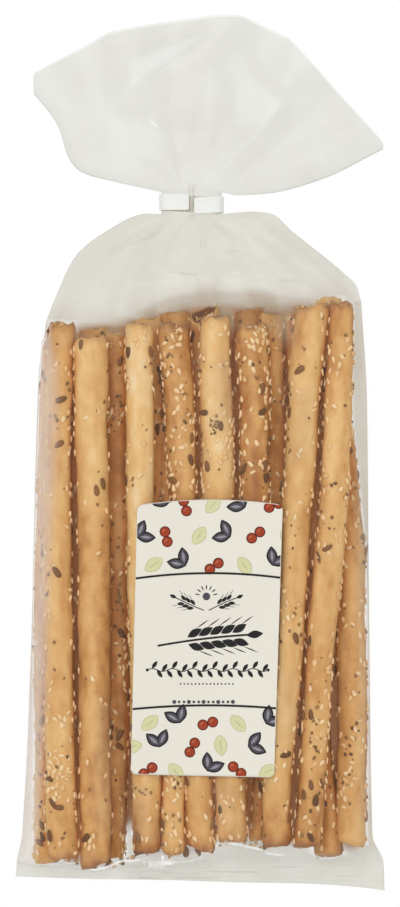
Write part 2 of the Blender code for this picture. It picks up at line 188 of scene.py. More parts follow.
# the breadsticks: each has the line of its middle as (along, across) in mm from foot to top,
# radii at even steps along it, how far its foot and top sink below the front, how dark it is
# baked at foot and top, partly painted shade where a stick lies low in shadow, how far its cut ends
# slant, and how thickly it is seeded; some darken one flank with painted shade
breadsticks = {
    "front1": dict(line=[(-158.4, -53.3), (-129, -54.6), (-60, -55.6), (0, -56.2), (31, -55.6), (51.2, -53.5)],
                   radii=(6.2, 5.8, 5.8, 5.8, 5.4), sink=(0, 4.2), bake=(0.42, 0.33, 0.38, 0.32, 0.33, 0.50), slant=(0.3, -0.4), seeds=0.75),
    "front2": dict(line=[(-161.0, -40.8), (-73, -41.0), (17, -42.4), (45.2, -43.0)],
                   radii=(6.1, 6.2, 6.4, 6.4, 6.8), sink=(0, 0), bake=(0.54, 0.43, 0.50, 0.44, 0.28, 0.30), slant=(1.6, 0.3), seeds=0.40),
    "front3": dict(line=[(-156.0, -20.4), (-129, -20.8), (-14, -23.2), (31, -23.5), (50.3, -24.0)],
                   radii=(5.5, 5.9, 5.5, 5.5, 5.6), sink=(0, 0.5), bake=(0.66, 0.25, 0.26, 0.20, 0.16, 0.20), slant=(0.8, -0.6), seeds=0.60),
    "front4": dict(line=[(-156.4, -10.0), (-129, -9.9), (-60, -8.0), (-10, -6.7), (20, -8.3), (50.3, -10.5)],
                   radii=(4.5, 4.4, 5.2, 5.8, 6.2), sink=(0.4, 0.6), bake=(0.38, 0.34, 0.48, 0.65, 0.46, 0.62), slant=(0.2, -0.5), seeds=1.45),
    "front5": dict(line=[(-154.7, 0.3), (-129, -0.4), (-70, 3.4), (-14, 7.0), (17, 6.5), (53.4, 5.8)],
                   radii=(5.7, 5.5, 6.2, 6.4, 5.9), sink=(0.2, 0.4), bake=(0.50, 0.38, 0.32, 0.36, 0.21, 0.26), slant=(-1.5, 0.4), seeds=1.00),
    "front6": dict(line=[(-151.3, 12.5), (-129, 12.0), (-70, 17.0), (-14, 21.8), (17, 21.6), (50.0, 20.3)],
                   radii=(6.0, 6.1, 5.8, 5.7, 6.5), sink=(0.2, 0.8), bake=(0.38, 0.42, 0.52, 0.64, 0.61, 0.43), slant=(-0.5, 0.9), seeds=1.35),
    "front7": dict(line=[(-153.5, 29.9), (-129, 30.6), (-73, 34.8), (-14, 38.3), (10, 39.8), (31, 41.2), (58.0, 44.3)],
                   radii=(5.8, 5.6, 5.7, 6.2, 6.8), sink=(0, 0), bake=(0.60, 0.25, 0.29, 0.35, 0.29, 0.40), slant=(0.5, 0.7), seeds=0.70),
    "front8": dict(line=[(-153.5, 41.4), (-129, 43.8), (-104, 45.0), (-73, 47.4), (-45.5, 49.7), (1, 53.5), (31, 54.4), (58.8, 55.3)],
                   radii=(5.6, 5.1, 5.8, 5.5, 4.8), sink=(0.3, 3.4), bake=(0.64, 0.43, 0.42, 0.32, 0.33, 0.48), slant=(0.4, -0.3), seeds=0.95, paintedShadeSide=-0.8),
    "back1": dict(line=[(-160.9, -59.6), (-73, -59.4), (0, -58.2), (44, -57.0)],
                  radii=(5.6, 5.8, 5.8, 5.6, 5.3), bake=(0.36, 0.43, 0.38, 0.32, 0.42), slant=(0.4, 0.2), seeds=0.8),
    "back2": dict(line=[(-157.5, -46.6), (-40, -46.0), (30, -43.8), (49.0, -41.8)],
                  radii=(5.8, 5.9, 5.9, 5.8, 5.7), bake=(0.20, 0.74, 0.74, 0.56, 0.46), slant=(-0.4, 0.5), seeds=0.8),
    "back3": dict(line=[(-159.3, -35.4), (-130, -34.6), (-40, -33.2), (47.6, -33.2)],
                  radii=(5.8, 6.0, 6.1, 6.2, 6.0), bake=(0.46, 0.50, 0.60, 0.53, 0.64, 0.48), slant=(0.6, -0.9), seeds=1.30),
    "back4": dict(line=[(-148.7, -20.6), (-40, -21.0), (53.2, -20.4)],
                  radii=(5.6, 6.0, 6.0, 6.1, 5.9), bake=(0.50, 0.50, 0.40, 0.28, 0.26), slant=(0.4, 0.8), seeds=0.9, paintedShadeSide=-2),
    "back5": dict(line=[(-155.0, -9.6), (-40, -9.7), (55.6, -9.6)],
                  radii=(5.3, 5.5, 5.7, 6.0, 6.0), bake=(0.50, 0.50, 0.48, 0.46, 0.52), slant=(0.2, 0.7), seeds=0.9),
    "back6": dict(line=[(-155.0, 1.2), (-40, 2.2), (30, 2.4), (57.4, 1.9)],
                  radii=(5.4, 5.6, 6.0, 6.1, 5.9), bake=(0.50, 0.50, 0.46, 0.42, 0.30), slant=(0.2, 1.6), seeds=0.9, face=-5.5),
    "back7": dict(line=[(-151.0, 12.7), (-40, 16.0), (56.6, 19.2)],
                  radii=(5.6, 5.7, 5.8, 6.0, 6.0), bake=(0.50, 0.50, 0.58, 0.60, 0.54), slant=(0.2, 1.3), seeds=0.9),
    "back8": dict(line=[(-151.8, 24.6), (-125, 27.0), (-80, 31.5), (-45, 30.6), (20, 27.8), (55.0, 27.4)],
                  radii=(5.7, 5.8, 5.5, 5.1, 5.2), rise=(1.2, 3.2), bake=(0.47, 0.52, 0.56, 0.52, 0.36), slant=(0.5, -0.5), seeds=1.1),
    "back9": dict(line=[(-158.4, 50.8), (-130, 47.4), (-112, 45.6), (-50, 45.2), (0, 44.0), (30, 40.6), (55.2, 38.0)],
                  radii=(5.7, 6.0, 6.1, 5.8, 5.5), bake=(0.50, 0.60, 0.60, 0.66, 0.60, 0.50), slant=(0.6, 0.4), seeds=0.9, paintedShadeSide=5),
    "back10": dict(line=[(-153.8, 59.4), (-100, 59.8), (-42, 59.2), (-14, 56.8), (10, 54.2), (60.8, 50.6)],
                   radii=(6.1, 5.9, 5.8, 5.7, 5.6), bake=(0.32, 0.43, 0.42, 0.43, 0.40, 0.10), slant=(-1.2, 0.6), seeds=1.25),
}
stickBuild = {"crest": 24.7, "bed": 0.75, "rings": 132, "sides": 40, "unevenness": 0.055, "wander": 0.55,
              "endRound": 2.8, "jagged": 0.45, "hollow": 1.1, "flankBakeAndShade": 0.20, "patchBake": 0.18, "blotchBake": 0.12,
              "endBake": 0.24, "gapPaintedShade": 0.14, "paintedGapGlow": 0.085, "paintedGapGlowColour": (1.0, 0.36, 0.085)}
frontSticks = [stick for stick in breadsticks.values() if "sink" in stick]


def alongStick(values, share):
    # evenly spaced values, from foot to top
    return smoothCurve([(step / (len(values) - 1), value) for step, value in enumerate(values)], share)


def stickCentre(stick, share):
    # the middle of a breadstick and its radius, in mm
    line, radii = stick["line"], stick["radii"]
    along = mix(line[0][0], line[-1][0], share)
    across = smoothCurve(line, along)
    radius = alongStick(radii, share)
    if "sink" in stick:
        towardEnds = stick["sink"][0] * (1 - share) ** 3 + stick["sink"][1] * share ** 5
        height = stickBuild["crest"] - radius - towardEnds
    else:
        rise = mix(*stick.get("rise", (0, 0)), share)
        height = stickBuild["bed"] + radius + rise
    return across, along, height, radius


def stickSurface(stick, number, share, turn):
    # a point of the crust and the way it faces, in mm
    across, along, height, radius = stickCentre(stick, share)
    x, z = math.cos(turn), math.sin(turn)
    run = share * 209
    bumps = 0.6 * noiseAt(x * 0.9 + number * 7, z * 0.9, run * 0.05) + 0.4 * noiseAt(x * 1.8, z * 1.8 + number * 3, run * 0.13)
    radius *= 1 + stickBuild["unevenness"] * 2 * bumps
    across += stickBuild["wander"] * (noiseAt(number * 5.3, run * 0.03) + 0.5 * noiseAt(run * 0.09, number * 2.1))
    return Vector((across + radius * x, along, height + radius * z)), Vector((x, 0, z))


def endShift(stick, number, end, turn):
    # how far along a cut end is moved at one side of the stick
    slant = stick["slant"][end] * math.cos(turn)
    face = stick.get("face", 0) * max(0, math.sin(turn)) if end else 0
    jag = noiseAt(math.cos(turn) * 1.3 + end * 9, math.sin(turn) * 1.3, number * 4.1)
    jag = stickBuild["jagged"] * (2.2 * jag if end else jag)
    return slant + face + jag * 1.6


def ringNeighbours(stick, along):
    # the other front breadsticks beside or over one ring of a breadstick
    others = []
    for other in frontSticks:
        low, high = other["line"][0][0], other["line"][-1][0]
        if other is not stick and low < along < high:
            across, _, _, radius = stickCentre(other, (along - low) / (high - low))
            others.append((across, radius))
    return others


def gapDepth(others, point, out, isFront):
    # how deep a place of the crust lies in the narrow gaps of the front layer, 0 to 1; it sets the painted shade and
    # the painted glow there
    gap = min((abs(point.x - across) - radius for across, radius in others), default=99.0)
    deep = smoothStep(3.4, 1.0, gap) * smoothStep(4, 9, point.z)
    return deep * smoothStep(0.8, 0.1, out.z) if isFront else deep


def makeCrust():
    material, tree, shader = newMaterial("bakedCrust")
    place = objectPlace(tree)
    bake = readValues(tree, "bake")
    mottle = noiseTexture(tree, place, 250, 4, 0.62, (1, 0.75, 1))
    freckle = noiseTexture(tree, place, 1500, 3, 0.65)
    level = addMath(tree, "ADD", bake, addMath(tree, "MULTIPLY", addMath(tree, "SUBTRACT", mottle, 0.5), 0.34))
    level = addMath(tree, "ADD", level, addMath(tree, "MULTIPLY", addMath(tree, "SUBTRACT", freckle, 0.5), 0.16), True)
    colour = addRamp(tree, level, [
        (0.0, (0.900, 0.700, 0.410)),
        (0.22, (0.835, 0.530, 0.222)),
        (0.45, (0.700, 0.378, 0.132)),
        (0.70, (0.440, 0.170, 0.042)),
        (1.0, (0.180, 0.060, 0.018)),
    ])
    tree.links.new(colour, shader.inputs["Base Color"])
    roughness = addNode(tree, "MapRange", {"Value": mottle, "To Min": 0.50, "To Max": 0.72}).outputs["Result"]
    tree.links.new(roughness, shader.inputs["Roughness"])
    shader.inputs["Specular IOR Level"].default_value = 0.28
    shader.inputs["Subsurface Weight"].default_value = 0.20
    shader.inputs["Subsurface Scale"].default_value = 0.0022
    shader.inputs["Subsurface Radius"].default_value = (1.0, 0.42, 0.16)
    # painted bounce light: a faint warm glow in the narrow gaps stands in for light passed on from crust to crust
    shader.inputs["Emission Color"].default_value = (*stickBuild["paintedGapGlowColour"], 1)
    glow = addMath(tree, "MULTIPLY", readValues(tree, "deep"), stickBuild["paintedGapGlow"])
    tree.links.new(glow, shader.inputs["Emission Strength"])
    cracks = addNode(tree, "TexVoronoi", {"Vector": place, "Scale": 900}, feature="DISTANCE_TO_EDGE").outputs["Distance"]
    pores = addMath(tree, "MULTIPLY", addMath(tree, "MINIMUM", cracks, 0.08), 2.0)
    height = addMath(tree, "ADD", addMath(tree, "MULTIPLY", freckle, 0.8), addMath(tree, "ADD", mottle, pores))
    addBump(tree, shader, height, 0.45, 0.00035)
    return material


def makeCrumbFace():
    # the broken, drier inside at a cut end
    material, tree, shader = newMaterial("cutCrumb")
    place = objectPlace(tree)
    cells = addNode(tree, "TexVoronoi", {"Vector": place, "Scale": 700}).outputs["Distance"]
    grain = noiseTexture(tree, place, 900, 4, 0.6)
    level = addMath(tree, "ADD", addMath(tree, "MULTIPLY", cells, 0.6), addMath(tree, "MULTIPLY", grain, 0.5))
    colour = addRamp(tree, level, [
        (0.1, (0.330, 0.150, 0.050)),
        (0.5, (0.640, 0.380, 0.160)),
        (0.9, (0.800, 0.560, 0.290)),
    ])
    tree.links.new(colour, shader.inputs["Base Color"])
    shader.inputs["Roughness"].default_value = 0.85
    addBump(tree, shader, level, 0.8, 0.0008)
    return material


def makeBreadstick(name, stick, number, crust, crumbFace):
    build = stickBuild
    length = stick["line"][-1][0] - stick["line"][0][0]
    nearEnd = [0.0, 0.3, 0.7, 1.2, 1.8, 2.6]
    runs = nearEnd + [mix(3.4, length - 3.4, k / build["rings"]) for k in range(build["rings"] + 1)]
    runs += [length - run for run in reversed(nearEnd)]
    points, bakes, deeps, faces = [], [], [], []
    sides = build["sides"]
    isFront = "sink" in stick
    endBake = build["endBake"] * (1.0 if isFront else 0.45)
    flankBakeAndShade = build["flankBakeAndShade"] * (1.0 if isFront else 0.35)
    for run in runs:
        share = run / length
        fromEnd = min(run, length - run)
        lip = 1 - 0.17 * (1 - min(1.0, fromEnd / build["endRound"])) ** 2
        end = 0 if run < length / 2 else 1
        hold = max(0.0, 1 - fromEnd / 14) ** 1.5
        across, along, height, radius = stickCentre(stick, share)
        others = ringNeighbours(stick, along)
        for side in range(sides):
            turn = 2 * math.pi * side / sides
            point, out = stickSurface(stick, number, share, turn)
            deeps.append(gapDepth(others, point, out, isFront))
            point -= out * radius * (1 - lip)
            point.y += hold * endShift(stick, number, end, turn)
            points.append(point * mm)
            flank = 1 - max(0.0, out.z)
            patch = noiseAt(out.x * 1.1 + number * 3.7, out.z * 1.1, run * 0.035)
            blotch = noiseAt(out.x * 2.6 + number, out.z * 2.6, run * 0.16)
            ends = max(0.0, 1 - fromEnd / 5) ** 2
            # painted shade: one flank is made darker than the other, as if shaded from the lamp
            flank *= max(0.0, 1 + 0.35 * out.x * stick.get("paintedShadeSide", 1))
            # the flanks darken partly as the crust's own bake and partly as painted shade
            tone = alongStick(stick["bake"], share) + flankBakeAndShade * flank ** 2.2 + endBake * ends
            # painted shade: the crust is darker deep in the narrow gaps between the front breadsticks
            tone += build["gapPaintedShade"] * deeps[-1]
            bakes.append(tone + build["patchBake"] * patch + build["blotchBake"] * blotch)
    for ring in range(len(runs) - 1):
        for side in range(sides):
            after = (side + 1) % sides
            base = ring * sides
            faces.append((base + side, base + after, base + sides + after, base + sides + side))
    crustFaces = len(faces)
    for end in (0, 1):
        rim = 0 if end == 0 else (len(runs) - 1) * sides
        inward = 1 if end == 0 else -1
        before = rim
        across, along, height, radius = stickCentre(stick, end)
        for scale, depth in ((0.84, 0.15), (0.62, 0.7), (0.32, 1.0)):
            deep = build["hollow"] * depth * (3.2 if stick.get("face") and end else 1)
            start = len(points)
            for side in range(sides):
                turn = 2 * math.pi * side / sides
                rough = 0.35 * noiseAt(math.cos(turn) * 4 * scale, math.sin(turn) * 4 * scale, number + end * 3)
                shift = mix(endShift(stick, number, end, turn), 0, 0.2 * (1 - scale))
                points.append(Vector((across + radius * scale * math.cos(turn), along + shift + inward * (deep + rough),
                                      height + radius * scale * math.sin(turn))) * mm)
                bakes.append(0.95)
            for side in range(sides):
                after = (side + 1) % sides
                quad = (before + side, start + side, start + after, before + after)
                faces.append(quad if end == 0 else quad[::-1])
            before = start
        points.append(Vector((across, along + inward * build["hollow"] * (3.4 if stick.get("face") and end else 1), height)) * mm)
        bakes.append(0.3)
        for side in range(sides):
            after = (side + 1) % sides
            tri = (before + side, len(points) - 1, before + after)
            faces.append(tri if end == 0 else tri[::-1])
    piece = meshPiece(name, points, faces, crust)
    piece.data.materials.append(crumbFace)
    capFaces = (len(faces) - crustFaces) // 2
    # back6's top end takes the crust material, whose darkest bake paints its hollow dark brown: painted shade in that
    # recess
    indices = [0] * crustFaces + [1] * capFaces + [0 if "face" in stick else 1] * capFaces
    piece.data.polygons.foreach_set("material_index", indices)
    addValues(piece, "bake", bakes)
    addValues(piece, "deep", deeps + [0.0] * (len(points) - len(deeps)))
    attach(piece, "root")
    return piece


crust = makeCrust()
crumbFace = makeCrumbFace()
for number, (name, stick) in enumerate(breadsticks.items()):
    makeBreadstick("breadstick_" + name, stick, number, crust, crumbFace)
print("breadsticks:", len(breadsticks))


# the seeds on the crust: size is length, width and thickness in mm
seeds = {
    "sesame": dict(size=(2.75, 1.65, 0.85), each=225, taper=0.34, rings=5, sides=7, spacing=1.8, sunk=0.10,
                   colours=((0.80, 0.48, 0.21), (0.94, 0.69, 0.39)), loose=9),
    "flax": dict(size=(4.6, 2.3, 1.0), each=20, taper=0.22, rings=6, sides=8, spacing=3.6, sunk=0.10,
                 colours=((0.105, 0.046, 0.018), (0.30, 0.13, 0.044)), loose=5),
    "poppy": dict(size=(1.25, 0.9, 0.7), each=120, vary=(0.6, 1.5), sideLove=0.3, taper=0.05, rings=4, sides=6, spacing=1.1, sunk=0.10,
                  colours=((0.13, 0.068, 0.027), (0.40, 0.21, 0.080)), loose=16),
}
seedClumps = {"scale": 0.075, "sideLove": 0.62}
# places where seeds or crumbs sit close together: middle, spread and how many
gatherings = {
    "sesame": [(-55.7, -125.6, 2.6, 8.0, 26), (-43.2, -151.0, 2.0, 2.6, 9), (23.0, 44.0, 3.5, 4.0, 7),
               (-54.5, -104.0, 2.0, 3.0, 4), (-6.5, 13.0, 3.5, 14.0, 12), (10.0, 3.0, 1.5, 14.0, 8),
               (58.0, -132.0, 3.0, 12.0, 9)],
    "flax": [(-57.6, -136.5, 0.6, 0.6, 1), (-54.6, -137.9, 0.6, 0.6, 1), (-61.5, -150.0, 1.0, 1.5, 3),
             (47.9, -128.3, 0.8, 0.8, 1), (40.4, -133.0, 0.8, 0.8, 1), (45.3, -135.5, 1.2, 1.2, 2), (35.0, -142.0, 0.8, 1.2, 2),
             (24.4, -132.2, 0.6, 0.6, 1), (24.0, 25.2, 0.5, 0.5, 1), (24.4, 16.2, 0.5, 0.5, 1), (38.9, 32.2, 0.4, 0.4, 1),
             (2.1, 16.2, 0.6, 0.6, 1), (2.7, -4.9, 0.6, 0.6, 1), (-3.3, 6.8, 0.8, 0.8, 1), (-46.7, 42.4, 0.3, 0.3, 1),
             (-38.9, 46.4, 1.2, 0.8, 3), (-31.4, 36.5, 1.0, 1.5, 3), (-27.8, 39.6, 0.4, 1.0, 2), (-31.4, -111.5, 1.0, 3.0, 4),
             (-64.0, -153.0, 1.0, 2.0, 2), (-16.0, 30.0, 0.6, 2.0, 2)],
    "poppy": [(5.7, 10.9, 1.6, 4.0, 12), (-21.3, -132.2, 1.5, 2.0, 5), (-9.0, -129.0, 2.0, 1.5, 5),
              (-31.4, -60.0, 3.0, 22.0, 18), (44.0, -110.0, 3.0, 16.0, 16), (58.0, -120.0, 3.0, 18.0, 16),
              (-32.0, 15.0, 2.5, 12.0, 12), (-5.0, 18.0, 3.0, 12.0, 10), (-62.5, -140.0, 1.5, 9.0, 8)],
    "crumbs": [(-38.9, 46.6, 1.5, 0.8, 8), (-35.2, 43.6, 1.5, 1.6, 9), (-10.0, 45.5, 3.5, 3.5, 22), (22.0, 49.5, 4.0, 1.6, 20),
               (0.5, 53.0, 2.5, 0.9, 8), (28.5, 50.0, 2.0, 2.2, 9), (40.0, 58.0, 3.0, 0.9, 8), (56.0, 58.0, 2.5, 1.0, 6),
               (-55.0, 50.0, 3.0, 0.8, 7), (-22.0, 50.0, 2.5, 0.8, 6), (8.0, 54.5, 3.0, 1.0, 8)],
}


def topSurface(x, y):
    # the highest crust under a place seen from the front, or nothing
    best = None
    for number, stick in enumerate(breadsticks.values()):
        low, high = stick["line"][0][0], stick["line"][-1][0]
        share = (y - low) / (high - low)
        if not 0.003 < share < 0.997:
            continue
        across, _, _, radius = stickCentre(stick, share)
        if abs(x - across) > radius * 0.9:
            continue
        point, out = stickSurface(stick, number, share, math.acos((x - across) / radius))
        if best is None or point.z > best[0].z:
            best = (point, out)
    return best


def gatheredPlaces(kind, random, spacing=0.5):
    places = []
    for x, y, wide, high, count in gatherings[kind]:
        tries, kept = 0, []
        while len(kept) < count and tries < count * 12:
            tries += 1
            found = topSurface(random.gauss(x, wide / 2), random.gauss(y, high / 2))
            if found and all((found[0] - other).length > spacing for other, _ in kept):
                kept.append(found)
        places += kept
    return places


def seedShape(kind):
    # one seed as a ring mesh of unit size that points along x
    rings, sides = kind["rings"], kind["sides"]
    points, faces = [(-1, 0, 0)], []
    for ring in range(1, rings):
        t = math.pi * ring / rings
        x = -math.cos(t)
        r = math.sin(t) ** 0.85 * (1 - kind["taper"] * x)
        for side in range(sides):
            turn = 2 * math.pi * side / sides
            points.append((x, r * math.cos(turn), r * math.sin(turn)))
    points.append((1, 0, 0))
    for side in range(sides):
        after = (side + 1) % sides
        faces.append((0, 1 + after, 1 + side))
        for ring in range(rings - 2):
            base = 1 + ring * sides
            faces.append((base + side, base + after, base + sides + after, base + sides + side))
        last = 1 + (rings - 2) * sides
        faces.append((last + side, last + after, len(points) - 1))
    return np.array(points), faces


def seedPlaces(kind, random):
    # (place, facing) of each seed on the breadsticks, kept apart and gathered in clumps
    places = []
    for number, stick in enumerate(breadsticks.values()):
        taken = []
        wanted = int(kind["each"] * stick["seeds"] * (1.0 if "sink" in stick else 0.8))
        tries = 0
        while len(taken) < wanted and tries < wanted * 14:
            tries += 1
            share = random.uniform(0.008, 0.99)
            turn = random.uniform(0, 2 * math.pi)
            clump = noiseAt(math.cos(turn) * 0.8 + number * 2.9, math.sin(turn) * 0.8, share * 209 * seedClumps["scale"])
            sides = abs(math.cos(turn)) ** 1.4
            sideLove = kind.get("sideLove", seedClumps["sideLove"])
            chance = (1 - sideLove) * 0.55 + sideLove * sides + 1.1 * clump
            if random.random() > chance:
                continue
            point, out = stickSurface(stick, number, share, turn)
            if any((point - other).length_squared < kind["spacing"] ** 2 for other, _ in taken):
                continue
            taken.append((point, out))
        places += taken
    return places


def makeSeeds(name, kind, loosePlaces):
    chance = random.Random(name)
    unit, unitFaces = seedShape(kind)
    points, faces, tones = [], [], []
    for point, out in seedPlaces(kind, chance) + gatheredPlaces(name, chance, kind["spacing"]) + loosePlaces:
        grown = chance.uniform(*kind.get("vary", (0.9, 1.08)))
        size = [s * grown * chance.uniform(0.9, 1.1) / 2 for s in kind["size"]]
        lean = Vector((chance.uniform(-0.18, 0.18), chance.uniform(-0.18, 0.18), chance.uniform(-0.18, 0.18)))
        up = (out + lean).normalized()
        heading = Vector((chance.uniform(-1, 1), chance.uniform(-1.7, 1.7), chance.uniform(-1, 1)))
        heading.y *= mix(3.0, 1.0, max(0.0, out.z))
        forward = (heading - up * heading.dot(up)).normalized()
        sideways = up.cross(forward)
        centre = point + up * (size[2] - kind["sunk"] * 2)
        axes = np.array([forward * size[0], sideways * size[1], up * size[2]])
        first = len(points)
        points.extend((unit @ axes + np.array(centre)) * mm)
        faces.extend(tuple(first + index for index in face) for face in unitFaces)
        tones.extend([chance.random()] * len(unit))
    piece = meshPiece(name, points, faces, makeSeedMaterial(name, kind))
    addValues(piece, "tone", tones)
    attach(piece, "root")
    return piece


def makeSeedMaterial(name, kind):
    material, tree, shader = newMaterial(name + "Hull")
    place = objectPlace(tree)
    grain = noiseTexture(tree, place, 1400, 3, 0.6)
    level = addMath(tree, "ADD", addMath(tree, "MULTIPLY", readValues(tree, "tone"), 0.7), addMath(tree, "MULTIPLY", grain, 0.4))
    colour = addRamp(tree, level, [(0.1, kind["colours"][0]), (0.9, kind["colours"][1])])
    tree.links.new(colour, shader.inputs["Base Color"])
    shader.inputs["Roughness"].default_value = 0.42
    shader.inputs["Specular IOR Level"].default_value = 0.25
    addBump(tree, shader, grain, 0.3, 0.0001)
    return material


# crumbs and seeds that have gathered in the hem, below the feet
looseBits = {"crumbs": 44, "span": (-66, 64), "depth": (0.3, 2.6), "height": (3.5, 8.5), "size": (0.25, 0.75)}


def hemPlaces(count, name):
    chance = random.Random(name + "Hem")
    feet = [(stickCentre(stick, 0)[0], stick["line"][0][0]) for stick in breadsticks.values() if "sink" in stick]
    feet.sort()
    places = []
    for _ in range(count):
        across = chance.uniform(*looseBits["span"])
        foot = smoothCurve(feet, across)
        along = foot - chance.uniform(*looseBits["depth"])
        places.append((Vector((across, along, chance.uniform(*looseBits["height"]))), Vector((0, 0, 1))))
    return places


def makeCrumbs():
    chance = random.Random("crumbs")
    ball = bmesh.new()
    bmesh.ops.create_icosphere(ball, subdivisions=1, radius=1)
    unit = [vert.co.copy() for vert in ball.verts]
    unitFaces = [tuple(vert.index for vert in face.verts) for face in ball.faces]
    ball.free()
    points, faces, bakes = [], [], []
    for place, _ in hemPlaces(looseBits["crumbs"], "crumbs") + gatheredPlaces("crumbs", chance):
        size = chance.uniform(*looseBits["size"])
        squash = [chance.uniform(0.6, 1.3) for _ in range(3)]
        first = len(points)
        bake = chance.uniform(0.05, 0.6)
        for corner in unit:
            rough = 1 + 0.35 * noiseAt(corner.x * 1.7 + first, corner.y * 1.7, corner.z * 1.7)
            points.append((place + Vector([c * s * size * rough for c, s in zip(corner, squash)])) * mm)
            bakes.append(bake)
        faces.extend(tuple(first + index for index in face) for face in unitFaces)
    piece = meshPiece("crumbs", points, faces, crust)
    addValues(piece, "bake", bakes)
    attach(piece, "root")
    return piece


for name, kind in seeds.items():
    piece = makeSeeds(name, kind, hemPlaces(kind["loose"], name))
    print(name, "faces:", len(piece.data.polygons))
makeCrumbs()


# the film: lengths in mm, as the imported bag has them
film = {
    "crest": 25.6, "side": 9.5, "neckHeight": 11.5, "hemHeight": 6.0, "mouthHeight": 9.0,
    "leftEdge": [(-166.8, -72.7), (-160, -72), (-150, -70), (-62, -66), (20, -63.8), (51, -60.6)],
    "rightEdge": [(-172, 72.7), (-161, 72.2), (-150, 67.8), (-62, 66.5), (20, 65.7), (60, 63.4)],
    "leftShoulder": [(-56.5, 62), (-48.8, 77.5), (-37.5, 86.8), (-20.5, 94.2)],
    "rightShoulder": [(61.4, 66), (57, 70.4), (36.2, 87.2), (27.5, 94.3), (21, 95), (13.5, 94.5)],
    "leftCrown": [(-33, 106.6), (-46.8, 110.6), (-51.5, 116), (-56, 129), (-65.4, 141.5)],
    "rightCrown": [(14.5, 101.4), (26, 102), (47, 107.4), (72, 119.6)],
    "mouth": [(-65.4, 141.5), (-65.6, 149.2), (-35.5, 165.3), (-11, 169.9), (9, 172), (17, 171.7),
              (35, 163.2), (46, 151.2), (72.2, 122), (72, 119.6)],
    "hemHalf": 72.7, "hemLeft": -166.8, "hemDrop": 3.3, "hemCorner": 1.9, "hemWave": 1.2, "hemThick": 0.9,
    "neckStart": 93.9, "neckEnd": 102.6, "neckMiddle": -3.35, "neckWidth": 23.7, "neckThick": 3.2,
    "mouthThick": 8.0, "footRoom": 1.9, "topRoom": 0.4, "sag": 6.0, "roundSide": 11.0,
    "hemRows": 34, "bodyRows": 84, "shoulderRows": 48, "crownRows": 62, "betweenSteps": 11, "sideSteps": 12,
    "pleats": 4.5, "pleatDepth": 1.8, "clearance": 0.7,
    "crownRelief": 1.3, "shoulderRelief": 1.1, "bodyRelief": 0.22, "hemRib": 0.08, "hemRibPitch": 1.7,
    "shadeReach": 12.0,
}


def filmColumns():
    # (kind, crest, share) from the left fold to the right one
    last = len(frontSticks) - 1
    sides = [math.cos(math.pi / 2 * step / film["sideSteps"]) for step in range(film["sideSteps"])]
    columns = [("left", 0, share) for share in sides]
    for crest in range(last):
        columns += [("between", crest, step / film["betweenSteps"]) for step in range(film["betweenSteps"])]
    columns.append(("between", last, 0.0))
    columns += [("right", last, share) for share in reversed(sides)]
    return columns


columns = filmColumns()


def crestAcross(stick, along):
    line = stick["line"]
    if along < line[0][0]:
        slope = (line[1][1] - line[0][1]) / (line[1][0] - line[0][0])
        return line[0][1] + slope * (along - line[0][0])
    return smoothCurve(line, along)


def columnEnd(column, end):
    kind, crest, share = column
    ends = []
    for stick in frontSticks[crest:crest + 2]:
        ends.append(stick["line"][0][0] - film["footRoom"] if end == "foot" else stick["line"][-1][0] + film["topRoom"])
    return ends[0] if kind != "between" or share == 0 else mix(ends[0], ends[1], share)


def columnSpan(column, along):
    kind, crest, _ = column
    start = crestAcross(frontSticks[crest], along)
    if kind == "left":
        return start, smoothCurve(film["leftEdge"], along)
    if kind == "right":
        return start, smoothCurve(film["rightEdge"], along)
    return start, crestAcross(frontSticks[min(crest + 1, len(frontSticks) - 1)], along)


def columnHeights(column, along):
    kind, _, share = column
    start, end = columnSpan(column, along)
    span = abs(end - start)
    if kind == "between":
        return film["crest"] - film["sag"] * span * span * mm * math.sin(math.pi * share) ** 2, 0.0
    power = max(1.15, 2.4 * min(1.0, film["roundSide"] / span))
    over = film["side"] + (film["crest"] - film["side"]) * (1 - share ** power)
    pastFlat = max(0.0, 1 - span * (1 - share) / film["roundSide"])
    return over, film["side"] * pastFlat ** 3.4


# stiff folds in the empty film: corners in mm, how high each stands and how far its slopes reach
stiffFolds = [
    dict(line=[(-27, 144.5), (5.3, 165.2)], high=1.5, reach=13),
    dict(line=[(-27.5, 153.5), (-2, 165)], high=-1.0, reach=7),
    dict(line=[(5.3, 165.2), (14, 150), (17, 128.5)], high=-1.1, reach=8),
    dict(line=[(17.5, 151), (32, 136.2), (25, 128.6)], high=1.3, reach=7),
    dict(line=[(-27, 144.5), (-34, 133), (-40, 122)], high=1.0, reach=11),
    dict(line=[(-3, 104), (-17, 115), (-27, 118.5)], high=1.1, reach=7),
    dict(line=[(2, 104), (9, 113), (25, 127.5)], high=1.2, reach=8),
    dict(line=[(7, 104), (30, 111), (58, 120)], high=1.0, reach=9),
    dict(line=[(-8, 104), (-30, 110), (-46, 119)], high=-0.9, reach=8),
    dict(line=[(0, 106), (-4, 122), (-3, 134)], high=-0.8, reach=8),
    dict(line=[(-11, 92), (-38, 81), (-44, 74)], high=1.1, reach=7),
    dict(line=[(-8, 90), (-30, 76), (-46, 66)], high=-0.8, reach=7),
    dict(line=[(8, 88), (26, 73.5)], high=1.0, reach=5),
    dict(line=[(-13.5, 71.5), (4, 69)], high=0.9, reach=4),
    dict(line=[(12, 71), (30, 68), (52, 64.5)], high=0.9, reach=5),
    dict(line=[(0, 91), (0.5, 76)], high=-0.7, reach=5),
    dict(line=[(12, 92), (42, 79)], high=-0.8, reach=7),
]


